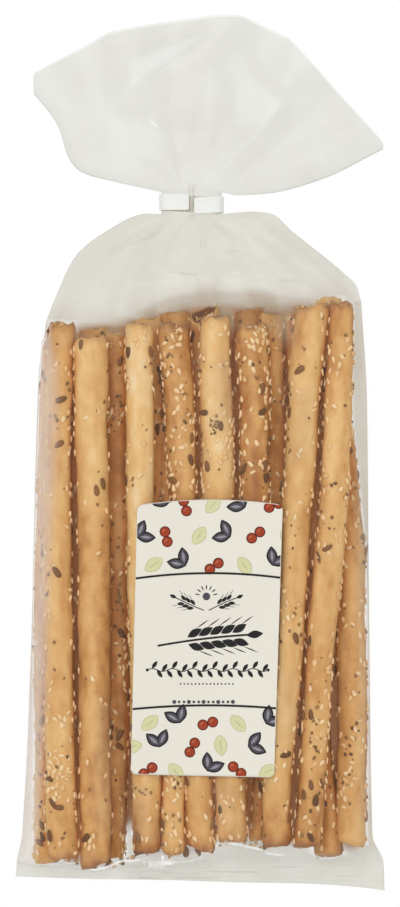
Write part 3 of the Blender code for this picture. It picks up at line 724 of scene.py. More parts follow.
def stiffFold(x, y):
    lift = 0.0
    for fold in stiffFolds:
        near = 99.0
        for (x0, y0), (x1, y1) in zip(fold["line"], fold["line"][1:]):
            run = ((x - x0) * (x1 - x0) + (y - y0) * (y1 - y0)) / ((x1 - x0) ** 2 + (y1 - y0) ** 2)
            run = min(1.0, max(0.0, run))
            near = min(near, math.hypot(x - mix(x0, x1, run), y - mix(y0, y1, run)))
        lift += fold["high"] * max(0.0, 1 - near / fold["reach"])
    return lift


def lens(share):
    return math.sqrt(max(0.0, 1 - abs(2 * share - 1) ** 3))


def sidePulls(left, right, share):
    return left * (1 - share) ** 3 + right * share ** 3


def hemRow(share):
    front, back = [], []
    for column in columns:
        kind, _, outward = column
        foot = columnEnd(column, "foot")
        start, end = columnSpan(column, foot)
        if kind != "between":
            end = math.copysign(film["hemHalf"], end)
        place = (mix(start, end, outward) + film["hemHalf"]) / (2 * film["hemHalf"])
        edge = film["hemLeft"] - film["hemDrop"] * place - film["hemCorner"] * place ** 10
        along = mix(foot, edge, share)
        if kind != "between":
            end = columnSpan(column, along)[1]
        across = mix(start, end, outward)
        over, under = columnHeights(column, foot)
        lift = (1 - min(1.0, share / 0.5)) ** 2
        middle = film["hemHeight"] + film["hemWave"] * math.sin(math.pi * 2.5 * across / film["hemHalf"])
        flat = 1 - lift
        rib = film["hemRib"] * math.sin(2 * math.pi * along / film["hemRibPitch"]) * smoothStep(0.45, 0.6, share)
        rib *= 0.6 + 0.8 * noiseAt(across * 0.06, along * 0.3, 4)
        pucker = 0.5 * flat * (1 - share) * 2 * noiseAt(across * 0.22, along * 0.10, 9)
        half = 0.0 if outward == 1 else film["hemThick"] / 2
        front.append((across, along, mix(middle + half + rib + pucker, over, lift)))
        back.append((across, along, mix(middle - half + rib + pucker, under, lift)))
    return front, back


def bodyRow(share):
    front, back = [], []
    for column in columns:
        along = mix(columnEnd(column, "foot"), columnEnd(column, "top"), share)
        start, end = columnSpan(column, along)
        across = mix(start, end, column[2])
        over, under = columnHeights(column, along)
        crease = ridgedNoise(across * 0.045, along * 0.03, 2.5) - 0.5
        over += film["bodyRelief"] * crease * (0.4 + math.sin(math.pi * column[2]) if column[0] == "between" else 0.7)
        front.append((across, along, over))
        back.append((across, along, under))
    return front, back


def shoulderRow(share):
    leftTop, rightTop = columnEnd(columns[0], "top"), columnEnd(columns[-1], "top")
    leftStart = (smoothCurve(film["leftEdge"], leftTop), leftTop)
    rightStart = (smoothCurve(film["rightEdge"], rightTop), rightTop)
    half = film["neckWidth"] / 2
    left = pathPoint((leftStart, *film["leftShoulder"], (film["neckMiddle"] - half, film["neckStart"])), share)
    right = pathPoint((rightStart, *film["rightShoulder"], (film["neckMiddle"] + half, film["neckStart"])), share)
    leftBend = left[1] - mix(leftTop, film["neckStart"], share)
    rightBend = right[1] - mix(rightTop, film["neckStart"], share)
    front, back = [], []
    for number, column in enumerate(columns):
        top = columnEnd(column, "top")
        start, end = columnSpan(column, top)
        atTop = (mix(start, end, column[2]) - leftStart[0]) / (rightStart[0] - leftStart[0])
        atNeck = number / (len(columns) - 1)
        place = mix(atTop, atNeck, share)
        across = mix(left[0], right[0], place)
        along = mix(top, film["neckStart"], share) + sidePulls(leftBend, rightBend, place)
        over, under = columnHeights(column, top)
        thick = film["neckThick"] / 2 * lens(atNeck)
        grown = math.sin(math.pi * min(1.0, share * 1.02)) ** 0.7 * lens(place)
        folds = 0.45 * (ridgedNoise(atNeck * 13, share * 0.9, 1.5) - 0.45)
        folds += 0.35 * (ridgedNoise(across * 0.05, along * 0.06, 6.5) - 0.5) + stiffFold(across, along)
        over = mix(over, film["neckHeight"] + thick, share) + film["shoulderRelief"] * folds * grown
        backFolds = ridgedNoise(atNeck * 11, share * 0.9, 8.5) - 0.4
        under = mix(under, film["neckHeight"] - thick, share) - film["shoulderRelief"] * backFolds * grown * share
        front.append((across, along, over))
        back.append((across, along, max(0.1, under)))
    return front, back


def crownRow(share):
    half = film["neckWidth"] / 2
    leftNeck = (film["neckMiddle"] - half, film["neckEnd"])
    rightNeck = (film["neckMiddle"] + half, film["neckEnd"])
    left = pathPoint((leftNeck, *film["leftCrown"]), share)
    right = pathPoint((rightNeck, *film["rightCrown"]), share)
    front, back = [], []
    for number in range(len(columns)):
        place = number / (len(columns) - 1)
        mouth = pathPoint(film["mouth"], place, smooth=False)
        spot = []
        for axis in (0, 1):
            leftBend = left[axis] - mix(leftNeck[axis], film["leftCrown"][-1][axis], share)
            rightBend = right[axis] - mix(rightNeck[axis], film["rightCrown"][-1][axis], share)
            neck = mix(leftNeck[axis], rightNeck[axis], place)
            spot.append(mix(neck, mouth[axis], share) + sidePulls(leftBend, rightBend, place))
        thick = mix(film["neckThick"], film["mouthThick"], math.sqrt(share)) / 2 * lens(place)
        pleat = film["pleatDepth"] * math.sin(2 * math.pi * film["pleats"] * place)
        middle = mix(film["neckHeight"], film["mouthHeight"], share) + pleat * lens(place) * share
        grown = math.sin(math.pi / 2 * min(1.0, share * 2.2)) * lens(place)
        folds = []
        for seed in (3.5, 11.5):
            fold = 0.35 * (ridgedNoise(place * 5.5, share * 1.4, seed) - 0.5)
            fold += 0.4 * (ridgedNoise(spot[0] * 0.04, spot[1] * 0.05, seed + 2) - 0.5)
            fold += 0.12 * math.sin(2 * math.pi * 13 * place) * (1 - share) ** 2
            fold += stiffFold(*spot) * (1.0 if seed < 5 else 0.5)
            folds.append(film["crownRelief"] * fold * grown)
        front.append((*spot, middle + thick + folds[0]))
        back.append((*spot, max(0.1, middle - thick + folds[1])))
    return front, back


def clearOfSticks(point):
    # moves a film point out of any breadstick that it would cut
    for number, stick in enumerate(breadsticks.values()):
        line = stick["line"]
        share = (point[1] - line[0][0]) / (line[-1][0] - line[0][0])
        if not -0.005 < share < 1.005:
            continue
        across, _, height, radius = stickCentre(stick, min(1, max(0, share)))
        gap = math.hypot(point[0] - across, point[2] - height)
        wanted = radius * 1.02 + film["clearance"] * smoothStep(1.0, 0.93, share) + 0.1
        if gap < wanted:
            scale = wanted / max(gap, 1e-6)
            point = (across + (point[0] - across) * scale, point[1], height + (point[2] - height) * scale)
    return point


filmClouds = {
    "onBread": 0.07, "overBare": 0.95, "underBare": 2.3, "hem": 1.46, "shoulder": 0.92, "crown": 1.36, "leftVeil": 1.9,
    "leftReach": [(-160, 9.5), (-60, 10.0), (10, 11.5), (32, 10.0), (44, 5.0), (52, 3.0)],
    "wallVeil": 0.35, "rightVeil": 1.25, "rightReach": 7.0, "tipVeil": 0.35,
}
# places where the empty film is painted clearer or cloudier, as painted light and shade on its folds: corners in mm,
# how much, and how soft
paintedFilmLight = [
    dict(corners=[(-27.5, 153.5), (-26.5, 144.6), (5.3, 165.2), (-1.5, 163.8)], gain=-0.80, soft=1.0),
    dict(corners=[(10.0, 153.0), (15.1, 152.6), (32.0, 136.2), (25.9, 128.6), (15.3, 128.6)], gain=-0.45, soft=2.6),
    dict(corners=[(15.0, 147.0), (19.0, 148.6), (31.0, 136.4), (25.5, 129.5), (19.0, 131.0)], gain=-0.42, soft=1.0),
    dict(corners=[(-34.0, 133.0), (-27.0, 143.6), (3.0, 155.5), (3.0, 127.0), (-19.4, 126.0)], gain=0.28, soft=2.6),
    dict(corners=[(27.6, 134.0), (36.0, 135.5), (37.5, 128.0), (28.5, 126.0)], gain=0.34, soft=2.2),
    dict(corners=[(-40, 158.0), (-4.0, 167.0), (-2.0, 165.5), (-28, 153.6)], gain=0.22, soft=1.6),
    dict(corners=[(-13, 121.0), (7, 122.0), (6, 112.0), (-12, 112.0)], gain=0.30, soft=3.5),
    dict(corners=[(42, 128.0), (62, 126.0), (60, 116.0), (44, 112.0)], gain=-0.22, soft=3.0),
    dict(corners=[(22.5, 88.5), (30.0, 87.5), (27.0, 84.5), (23.0, 85.0)], gain=0.35, soft=1.5),
    dict(corners=[(14.5, 88.0), (17.5, 86.5), (27.5, 77.5), (25.0, 77.0)], gain=-0.25, soft=1.0),
    dict(corners=[(-13, 70.0), (-8, 72.0), (-3, 64.0), (-20, 62.0)], gain=-0.30, soft=2.5),
    dict(corners=[(-11, 94.0), (-7, 94.5), (-5, 84.0), (-9, 82.0)], gain=-0.25, soft=2.0),
    dict(corners=[(-52, 66.0), (-30, 76.0), (-24, 70.0), (-46, 58.0)], gain=-0.15, soft=4.0),
    dict(corners=[(34, 79.0), (44, 72.0), (40, 68.0), (30, 74.0)], gain=0.15, soft=3.0),
]


hemPatches = [
    dict(corners=[(-30, -157), (64, -157), (64, -170), (-30, -170)], gain=0.70, soft=4.0),
    dict(corners=[(-18, -156.0), (-9, -157.0), (-9, -160.5), (-18, -160.0)], gain=-1.2, soft=0.9),
    dict(corners=[(-4, -158.0), (4, -161.0), (8, -168.0), (-4, -170.0)], gain=0.4, soft=2.0),
]
# painted reflections that make the film milkier over the bread
breadPaintedReflections = [
    dict(corners=[(4.5, 36), (11.5, 37), (12, 10), (6, 8)], gain=0.45, soft=2.6),
    dict(corners=[(37, 24), (43, 25), (42, -2), (37, -4)], gain=0.40, soft=2.2),
    dict(corners=[(32, -86), (37, -85), (36, -112), (32, -113)], gain=0.40, soft=2.0),
    dict(corners=[(-41, -96), (-35, -96), (-35, -148), (-40, -148)], gain=0.35, soft=2.0),
    dict(corners=[(28, 57), (36, 57), (37, 42), (29, 45)], gain=0.80, soft=2.2),
    dict(corners=[(-26, -128), (-20, -128), (-20, -150), (-26, -150)], gain=0.35, soft=2.0),
    dict(corners=[(4, -127), (16, -128), (16, -150), (4, -150)], gain=0.30, soft=2.5),
]
# painted shade: the darker band of film just above the tops of the breadsticks
topShades = [
    dict(corners=[(-27, 53), (-19, 58), (-9.5, 61.5), (6, 63.5), (30, 62), (42, 59.5), (42, 48), (-27, 48)], gain=0.80, soft=1.8),
    dict(corners=[(-2, 66), (7, 66), (8, 56), (-3, 56)], gain=0.35, soft=2.5),
    dict(corners=[(18, 64), (30, 63), (30, 56), (18, 56)], gain=0.35, soft=2.5),
    dict(corners=[(-62, 48), (-58, 72), (-30, 96), (20, 98), (58, 74), (64, 48)], gain=0.42, soft=6.0),
]


def softInside(corners, soft, x, y):
    # 1 well inside a convex patch and 0 outside it, soft along its edges
    turning = sum(a[0] * b[1] - b[0] * a[1] for a, b in zip(corners, corners[1:] + corners[:1]))
    way = 1 if turning > 0 else -1
    inside = 1.0
    for (x0, y0), (x1, y1) in zip(corners, corners[1:] + corners[:1]):
        length = math.hypot(x1 - x0, y1 - y0)
        off = way * ((x1 - x0) * (y - y0) - (y1 - y0) * (x - x0)) / length
        inside *= smoothStep(-soft, soft, off)
        if inside == 0.0:
            break
    return inside


def patchGain(patches, x, y):
    return sum(patch["gain"] * softInside(patch["corners"], patch["soft"], x, y) for patch in patches)


def pastBread(x, y):
    # how far a place seen from the front lies outside every breadstick, in mm
    nearest = 99.0
    for stick in breadsticks.values():
        low, high = stick["line"][0][0], stick["line"][-1][0]
        across, _, _, radius = stickCentre(stick, min(1.0, max(0.0, (y - low) / (high - low))))
        nearest = min(nearest, max(abs(x - across) - radius, low - y, y - high))
    return nearest


def overTip(x, y):
    # 1 over the very ends of the breadsticks, fading within a few mm
    near = 0.0
    for stick in breadsticks.values():
        for end in (0, 1):
            across, along, _, radius = stickCentre(stick, end)
            if abs(x - across) < radius + 1:
                near = max(near, smoothStep(4.0, 0.0, abs(y - along)))
    return near


def filmHaze(zone, share, place, point, front):
    # how cloudy the film looks, most where it hangs empty, and how far its colour leans to yellow or to a milky white,
    # the painted reflection on its side walls
    look = filmClouds
    x, y, z = point
    if zone == "body":
        open_ = smoothStep(-0.3, 1.2, pastBread(x, y)) * max(smoothStep(52, 58, abs(x)), smoothStep(-140, -146, y))
        bare = open_ * look["overBare" if front else "underBare"]
        # the side walls get a milky veil: partly the film's haze seen slantwise, partly painted reflection
        reach = smoothCurve(look["leftReach"], y)
        veil = smoothStep(reach, reach * 0.35, x - smoothCurve(film["leftEdge"], y)) * look["leftVeil"]
        reach = look["rightReach"] * smoothStep(52, 20, y)
        fromRight = smoothCurve(film["rightEdge"], y) - x
        veil = max(veil, smoothStep(reach, reach * 0.2, fromRight) * look["rightVeil"] if reach else 0.0)
        veil *= mix(look["wallVeil"], 1.0, smoothStep(9.0, 17.0, z))
        lean = 0.10 * open_ - 0.5 * veil * (1 - open_) if place > 0.5 else -min(1.0, veil)
        if front:
            veil = max(veil, look["tipVeil"] * overTip(x, y), patchGain(breadPaintedReflections, x, y))
        return look["onBread"] + max(bare, veil), lean
    if zone == "hem":
        wall = look["overBare" if front else "underBare"]
        haze = mix(smoothStep(-0.5, 1.2, pastBread(x, y)) * wall, look["hem"], smoothStep(0.0, 0.35, share))
        return haze + (patchGain(hemPatches, x, y) if front else 0.0), 0.03
    haze = look["shoulder"] if zone == "shoulder" else mix(look["crown"], look["crown"] * 0.9, share)
    if zone == "shoulder":
        haze = mix(look["onBread"], haze, smoothStep(-0.5, 1.5, pastBread(x, y)))
    if front:
        # painted light and shade on the folds of the empty film
        haze += patchGain(paintedFilmLight, x, y)
    return haze, 0.10 if zone == "shoulder" else 0.0


def makeFilm(material):
    rows = []
    for step in range(film["hemRows"]):
        share = 1 - step / film["hemRows"]
        rows.append(("hem", share, hemRow(share)))
    closeRows = [0.0, 0.0022, 0.0045, 0.007, 0.0095, 0.013, 0.018]
    bodyShares = closeRows + [mix(0.025, 1, step / film["bodyRows"]) for step in range(film["bodyRows"] + 1)]
    for share in bodyShares:
        rows.append(("body", share, bodyRow(share)))
    for step in range(1, film["shoulderRows"] + 1):
        rows.append(("shoulder", step / film["shoulderRows"], shoulderRow(step / film["shoulderRows"])))
    for step in range(film["crownRows"] + 1):
        rows.append(("crown", step / film["crownRows"], crownRow(step / film["crownRows"])))
    points, hazes, shades = [], [], []
    tops = [(stickCentre(stick, 1), "sink" in stick) for stick in breadsticks.values()]
    for zone, share, (front, back) in rows:
        ring = [(point, k, True) for k, point in enumerate(front)]
        ring += [(point, len(front) - 2 - k, False) for k, point in enumerate(reversed(back[1:-1]))]
        for point, k, isOver in ring:
            if zone in ("body", "hem"):
                point = clearOfSticks(point)
            place = k / (len(front) - 1)
            shade = 0.0
            # painted shade: the film grows darker and browner just above the tops of the breadsticks
            if zone in ("shoulder", "body"):
                for (across, along, height, radius), isFront in tops:
                    reach = max(0.0, 1 - max(0.0, point[1] - along) / film["shadeReach"])
                    near = math.exp(-((point[0] - across) / 8) ** 2)
                    if point[1] > along - 2:
                        shade = max(shade, reach ** 1.7 * near * (0.35 if isFront else 0.5))
                if isOver:
                    shade += patchGain(topShades, *point[:2])
                shade *= smoothStep(-0.8, 0.6, pastBread(*point[:2]))
            haze, lean = filmHaze(zone, share, place, point, isOver)
            points.append(Vector(point) * mm)
            hazes.append(haze)
            shades.append(shade + lean)
    around = 2 * len(columns) - 2
    faces = []
    for row in range(len(rows) - 1):
        for here in range(around):
            after = (here + 1) % around
            low = row * around
            faces.append((low + here, low + after, low + around + after, low + around + here))
    for step in range(len(columns) - 1):
        corners = dict.fromkeys((step + 1, step, (around - step) % around, around - step - 1))
        faces.append(tuple(corners))
    piece = meshPiece("filmBag", points, faces, material)
    addValues(piece, "haze", hazes)
    addValues(piece, "shade", shades)
    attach(piece, "root")
    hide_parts("bag")
    return piece


# the last colour of the ramp is that of the painted shade above the tops; the milk is the painted reflection on the
# side walls and the whiteness of the pinched fold
filmLook = {"cloud": 0.20, "edge": 0.27, "milk": (0.86, 0.82, 0.76), "grey": (0.560, 0.548, 0.455), "straw": (0.585, 0.550, 0.370),
            "paintedShadeBeige": (0.42, 0.335, 0.235), "shadeCover": 0.32, "gloss": 0.16,
            "mirror": 0.005, "mirrorEdge": 0.07}


def makeFilmMaterial():
    material, tree, shader = newMaterial("clearFilm")
    place = objectPlace(tree)
    haze = readValues(tree, "haze")
    shade = readValues(tree, "shade")
    drift = noiseTexture(tree, place, 38, 4, 0.55)
    crinkle = noiseTexture(tree, place, 140, 5, 0.6, (1, 0.6, 1))
    facing = addNode(tree, "LayerWeight", {"Blend": 0.28}).outputs["Facing"]
    edge = addMath(tree, "MULTIPLY", addMath(tree, "POWER", facing, 2.4), filmLook["edge"])
    edge = addMath(tree, "MULTIPLY", edge, addMath(tree, "MINIMUM", haze, 1.0))
    cloud = addMath(tree, "MULTIPLY", haze, addMath(tree, "MULTIPLY", addMath(tree, "ADD", drift, 0.5), filmLook["cloud"]))
    cloud = addMath(tree, "ADD", cloud, addMath(tree, "MULTIPLY", addMath(tree, "MAXIMUM", shade, 0.0), filmLook["shadeCover"]))
    cover = addMath(tree, "ADD", cloud, edge, True)
    tint = addMath(tree, "ADD", addMath(tree, "MULTIPLY", shade, 0.5), 0.5)
    colour = addRamp(tree, tint, [(0.0, filmLook["milk"]), (0.5, filmLook["grey"]), (0.55, filmLook["straw"]), (1.0, filmLook["paintedShadeBeige"])])
    tree.links.new(colour, shader.inputs["Base Color"])
    shader.inputs["Roughness"].default_value = 0.35
    shader.inputs["Specular IOR Level"].default_value = 0.5
    normal = addBump(tree, shader, addMath(tree, "ADD", crinkle, drift), 0.30, 0.0012)
    clear = addNode(tree, "BsdfTransparent", {"Color": (0.985, 0.985, 0.978, 1)})
    body = addNode(tree, "MixShader", {0: cover, 1: clear.outputs[0], 2: shader.outputs[0]})
    shine = addNode(tree, "BsdfGlossy", {"Color": (1, 1, 1, 1), "Roughness": filmLook["gloss"], "Normal": normal})
    mirror = addMath(tree, "MULTIPLY", addMath(tree, "POWER", facing, 3.0), filmLook["mirrorEdge"])
    mirror = addMath(tree, "ADD", mirror, filmLook["mirror"])
    whole = addNode(tree, "MixShader", {0: mirror, 1: body.outputs[0], 2: shine.outputs[0]})
    tree.links.new(whole.outputs[0], tree.nodes["Material Output"].inputs["Surface"])
    return material


filmMaterial = makeFilmMaterial()
filmPiece = makeFilm(filmMaterial)
print("film faces:", len(filmPiece.data.polygons))


# painted light and shade along creases of the film, white lines painted highlights and dark ones painted shade: lines
# in mm with their width, how white they are and how much they cover
creaseLightsAndShades = [
    dict(line=[(-50.4, -164.3), (-46.1, -163.2), (-35.1, -160.6), (-29.2, -158.6), (-19.4, -158.4), (-16.3, -158.9),
               (-3.7, -158.9), (0.2, -156.9), (5.4, -153.9)], width=0.75, pale=1.0, cover=0.75),
    dict(line=[(6.9, -151.5), (13.1, -151.9), (21.4, -153.8), (31.2, -155.7), (35.9, -155.7)], width=0.7, pale=1.0, cover=0.7),
    dict(line=[(44.2, -155.2), (46.1, -157.5), (51.2, -158.9), (57.1, -157.3)], width=0.7, pale=1.0, cover=0.65),
    dict(line=[(-19.2, -158.2), (-19.1, -162.8)], width=0.5, pale=1.0, cover=0.7),
    dict(line=[(-21.5, -157.6), (-18.0, -159.0), (-12.4, -160.4)], width=2.0, pale=1.0, cover=1.0),
    dict(line=[(-19.0, -159.6), (-14.4, -158.6), (-9.6, -158.8)], width=1.3, pale=1.0, cover=0.9),
    dict(line=[(-14.6, -156.0), (-14.2, -159.8)], width=0.8, pale=1.0, cover=0.9),
    dict(line=[(-24.6, -158.8), (-20.4, -161.4), (-14.0, -162.2)], width=0.9, pale=1.0, cover=0.45),
    dict(line=[(-54.5, -157.9), (-51.0, -159.4), (-47.8, -159.2)], width=0.45, pale=1.0, cover=0.5),
    dict(line=[(-12.8, 70.6), (-6.0, 70.2), (-0.2, 69.2)], width=0.8, pale=0.3, cover=0.22),
    dict(line=[(12.4, 70.9), (16.2, 69.8)], width=0.7, pale=0.9, cover=0.3),
    dict(line=[(20.0, 69.9), (23.6, 68.8)], width=0.7, pale=0.9, cover=0.3),
    dict(line=[(27.6, 67.8), (30.2, 67.7)], width=0.8, pale=0.9, cover=0.4),
    dict(line=[(30.0, 67.8), (36.0, 67.4), (41.4, 65.4)], width=1.1, pale=0.3, cover=0.16),
    dict(line=[(-28.5, 81.0), (-20.2, 84.6), (-13.5, 88.2)], width=1.3, pale=0.3, cover=0.10),
    dict(line=[(16.3, 86.7), (21.0, 81.8), (26.3, 77.4)], width=1.6, pale=0.95, cover=0.16),
    dict(line=[(9.0, 78.6), (14.0, 79.0), (19.0, 76.2)], width=1.2, pale=0.3, cover=0.10),
    dict(line=[(-20.0, 131.0), (-15.8, 127.2)], width=0.9, pale=1.0, cover=0.5),
    dict(line=[(0.2, 83.8), (0.4, 79.6)], width=0.45, pale=0.3, cover=0.16),
    dict(line=[(1.9, 83.9), (2.0, 79.9)], width=0.45, pale=0.3, cover=0.16),
    dict(line=[(-26.6, 144.9), (-12.0, 154.4), (5.3, 165.2)], width=2.2, pale=0.3, cover=0.06),
    dict(line=[(-9.5, 91.8), (-24.0, 85.0), (-39.0, 76.0)], width=2.6, pale=0.3, cover=0.07),
    dict(line=[(-12.0, 92.6), (-29.0, 87.0), (-42.5, 78.5)], width=1.8, pale=0.95, cover=0.14),
    dict(line=[(-6.0, 91.0), (-11.5, 81.5), (-14.0, 74.0)], width=1.8, pale=0.3, cover=0.08),
    dict(line=[(-2.0, 90.0), (-5.5, 80.0), (-8.0, 73.0)], width=1.5, pale=0.95, cover=0.12),
    dict(line=[(4.0, 91.0), (13.0, 84.0), (19.5, 78.0)], width=2.0, pale=0.3, cover=0.07),
    dict(line=[(7.0, 92.0), (24.0, 86.0), (38.0, 78.5)], width=2.2, pale=0.95, cover=0.12),
    dict(line=[(27.0, 83.0), (33.0, 79.0), (36.0, 74.5)], width=3.4, pale=0.3, cover=0.06),
    dict(line=[(-31.0, 66.5), (-16.0, 66.5), (-2.0, 67.0)], width=1.2, pale=0.95, cover=0.12),
    dict(line=[(6.0, 68.5), (18.0, 66.5), (29.0, 64.8)], width=2.0, pale=0.95, cover=0.16),
]
hemLines = {"count": 15, "along": (-171.0, -160.5), "across": (-42.0, 40.0), "length": (8.0, 34.0), "width": 0.42}


def makeCreaseLightAndShade(under):
    # each crease is a thin ridge that stands just over the film, faded at its sides and ends, carrying a painted
    # highlight or a painted shade line
    lines = list(creaseLightsAndShades)
    chance = random.Random("hem lines")
    for _ in range(hemLines["count"]):
        x = chance.uniform(*hemLines["across"])
        y = chance.uniform(*hemLines["along"])
        length = chance.uniform(*hemLines["length"])
        drift = chance.uniform(-0.5, 0.5)
        line = [(x - length / 2, y + drift), (x, y), (x + length / 2, y + drift * 0.3 - 0.3)]
        lines.append(dict(line=line, width=hemLines["width"], pale=chance.choice((0.15, 1.0)), cover=chance.uniform(0.10, 0.28)))
    tree = BVHTree.FromPolygons([v.co for v in under.data.vertices], [tuple(p.vertices) for p in under.data.polygons])
    points, faces, pales, covers = [], [], [], []
    for crease in lines:
        steps = max(8, int(sum(math.dist(a, b) for a, b in zip(crease["line"], crease["line"][1:])) / 0.8))
        before = None
        for step in range(steps + 1):
            share = step / steps
            x, y = pathPoint(crease["line"], share)
            xa, ya = pathPoint(crease["line"], min(1.0, share + 0.02))
            xb, yb = pathPoint(crease["line"], max(0.0, share - 0.02))
            run = Vector((xa - xb, ya - yb, 0)).normalized()
            side = Vector((-run.y, run.x, 0)) * crease["width"] * (0.35 + 0.65 * math.sin(math.pi * share) ** 0.5)
            row = []
            middle, facing = tree.ray_cast(Vector((x * mm, y * mm, 0.2)), Vector((0, 0, -1)))[:2]
            steep = middle is not None and abs(facing.z) < 0.5
            out = Vector((facing.x, facing.y, 0)).normalized() * crease["width"] * 0.8 if steep else Vector((0, 0, 0))
            for lean, cover, rise in ((-1, 0.0, 0.06), (-0.35, 1.0, 0.14), (0.35, 1.0, 0.14), (1, 0.0, 0.06)):
                place = Vector((x, y, 0)) + side * lean + out
                hit = tree.ray_cast(Vector((place.x * mm, place.y * mm, 0.2)), Vector((0, 0, -1)))[0]
                if middle is None or hit is None:
                    continue
                hit = middle if steep else hit
                row.append(len(points))
                points.append(Vector((place.x * mm, place.y * mm, hit.z + rise * mm)))
                pales.append(crease["pale"])
                covers.append(cover * crease["cover"] * min(1.0, 6 * share, 6 * (1 - share)))
            if len(row) < 4:
                before = None
                continue
            if before:
                faces.extend((before[k], before[k + 1], row[k + 1], row[k]) for k in range(3))
            before = row
    piece = meshPiece("filmCreaseLightAndShade", points, faces, makeCreaseLightAndShadeMaterial())
    addValues(piece, "pale", pales)
    addValues(piece, "cover", covers)
    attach(piece, "root")
    return piece


def makeCreaseLightAndShadeMaterial():
    material, tree, shader = newMaterial("paintedCreaseLightAndShade")
    # white for painted highlights, dark grey for painted shade
    colour = addRamp(tree, readValues(tree, "pale"), [(0.0, (0.28, 0.26, 0.23)), (1.0, (0.97, 0.97, 0.95))])
    tree.links.new(colour, shader.inputs["Base Color"])
    shader.inputs["Roughness"].default_value = 0.3
    speck = noiseTexture(tree, objectPlace(tree), 900, 3, 0.6)
    cover = addMath(tree, "MULTIPLY", readValues(tree, "cover"), addMath(tree, "ADD", speck, 0.45), True)
    clear = addNode(tree, "BsdfTransparent")
    whole = addNode(tree, "MixShader", {0: cover, 1: clear.outputs[0], 2: shader.outputs[0]})
    tree.links.new(whole.outputs[0], tree.nodes["Material Output"].inputs["Surface"])
    return material


makeCreaseLightAndShade(filmPiece)


# the fold of film that stands up between the two ends of the clip
pinch = {"across": -3.15, "along": (91.5, 106.5), "width": 2.6, "top": 15.9, "foot": 12.0, "rows": 30, "columns": 14}


def makePinch(material):
    points, faces, hazes = [], [], []
    wide = pinch["columns"] + 1
    for row in range(pinch["rows"] + 1):
        t = row / pinch["rows"]
        y = mix(*pinch["along"], t)
        full = math.sin(math.pi * t) ** 0.6
        for column in range(wide):
            side = 2 * column / pinch["columns"] - 1
            ridge = math.cos(math.pi / 2 * side) ** 1.6 * full
            lean = 0.35 * noiseAt(y * 0.35, 3.3) + 0.15 * noiseAt(y * 1.2, side)
            x = pinch["across"] + side * pinch["width"] / 2 * (1 + 0.8 * (1 - full)) + lean
            z = mix(pinch["foot"], pinch["top"], ridge) + 0.12 * noiseAt(x * 1.5, y * 0.8, 2) * full
            points.append(Vector((x, y, z)) * mm)
            hazes.append(2.6 * full * (1 - abs(side) ** 3))
    for row in range(pinch["rows"]):
        for column in range(pinch["columns"]):
            a = row * wide + column
            faces.append((a, a + 1, a + wide + 1, a + wide))
    piece = meshPiece("filmPinch", points, faces, material)
    addValues(piece, "haze", hazes)
    addValues(piece, "shade", [-0.8] * len(points))
    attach(piece, "root")
    return piece


makePinch(filmMaterial)


# the label: a sheet of paper with round corners and an arched top, a little wavy
label = {
    "footLeft": (-26.9, -124.8), "footRight": (28.8, -126.0), "topRight": (32.2, -20.0), "topLeft": (-24.4, -20.1),
    "arch": 2.1, "corner": 2.2, "thick": 0.28, "wave": 0.10, "columns": 64, "rows": 96, "inkLift": 0.035,
}
labelTop = labelHigh.z / mm - 0.06


def labelPoint(s, t, inset=0.0):
    # a place on the label from its left and right shares, s across and t up
    foot = [mix(a, b, s) for a, b in zip(label["footLeft"], label["footRight"])]
    head = [mix(a, b, s) for a, b in zip(label["topLeft"], label["topRight"])]
    head[1] += label["arch"] * 4 * s * (1 - s)
    width = label["footRight"][0] - label["footLeft"][0]
    fromSide = min(s, 1 - s) * width
    round_ = 0.0
    if fromSide < label["corner"]:
        round_ = label["corner"] - math.sqrt(label["corner"] ** 2 - (label["corner"] - fromSide) ** 2)
    length = head[1] - foot[1]
    low, high = round_ / length, 1 - round_ / length
    at = mix(low, high, t)
    return mix(foot[0], head[0], at), mix(foot[1], head[1], at)


def labelHeight(across, along):
    return labelTop + label["wave"] * (noiseAt(across * 0.07, along * 0.035, 5) - 0.25)


def makeLabel(material):
    shares = sorted({0.5 - 0.5 * math.cos(math.pi * k / label["columns"]) for k in range(label["columns"] + 1)})
    points, faces = [], []
    across = len(shares)
    for lift in (0.0, -label["thick"]):
        for row in range(label["rows"] + 1):
            for s in shares:
                x, y = labelPoint(s, row / label["rows"])
                points.append(Vector((x, y, labelHeight(x, y) + lift)) * mm)
    layer = across * (label["rows"] + 1)
    border = []
    for row in range(label["rows"]):
        for k in range(across - 1):
            a = row * across + k
            faces.append((a, a + 1, a + across + 1, a + across))
            faces.append((layer + a, layer + a + across, layer + a + across + 1, layer + a + 1))
    border += [k for k in range(across)]
    border += [row * across + across - 1 for row in range(1, label["rows"] + 1)]
    border += [label["rows"] * across + k for k in range(across - 2, -1, -1)]
    border += [row * across for row in range(label["rows"] - 1, 0, -1)]
    for a, b in zip(border, border[1:] + border[:1]):
        faces.append((a, layer + a, layer + b, b))
    piece = meshPiece("paperLabel", points, faces, material)
    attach(piece, "root")
    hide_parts("label")
    return piece


def makePaper():
    material, tree, shader = newMaterial("labelPaper")
    place = objectPlace(tree)
    fibre = noiseTexture(tree, place, 1600, 4, 0.6, (1, 0.35, 1))
    cloud = noiseTexture(tree, place, 30, 3, 0.5)
    level = addMath(tree, "ADD", addMath(tree, "MULTIPLY", fibre, 0.4), addMath(tree, "MULTIPLY", cloud, 0.6))
    colour = addRamp(tree, level, [(0.25, (0.775, 0.735, 0.640)), (0.75, (0.830, 0.795, 0.700))])
    tree.links.new(colour, shader.inputs["Base Color"])
    shader.inputs["Roughness"].default_value = 0.62
    shader.inputs["Specular IOR Level"].default_value = 0.3
    addBump(tree, shader, fibre, 0.25, 0.00006)
    return material


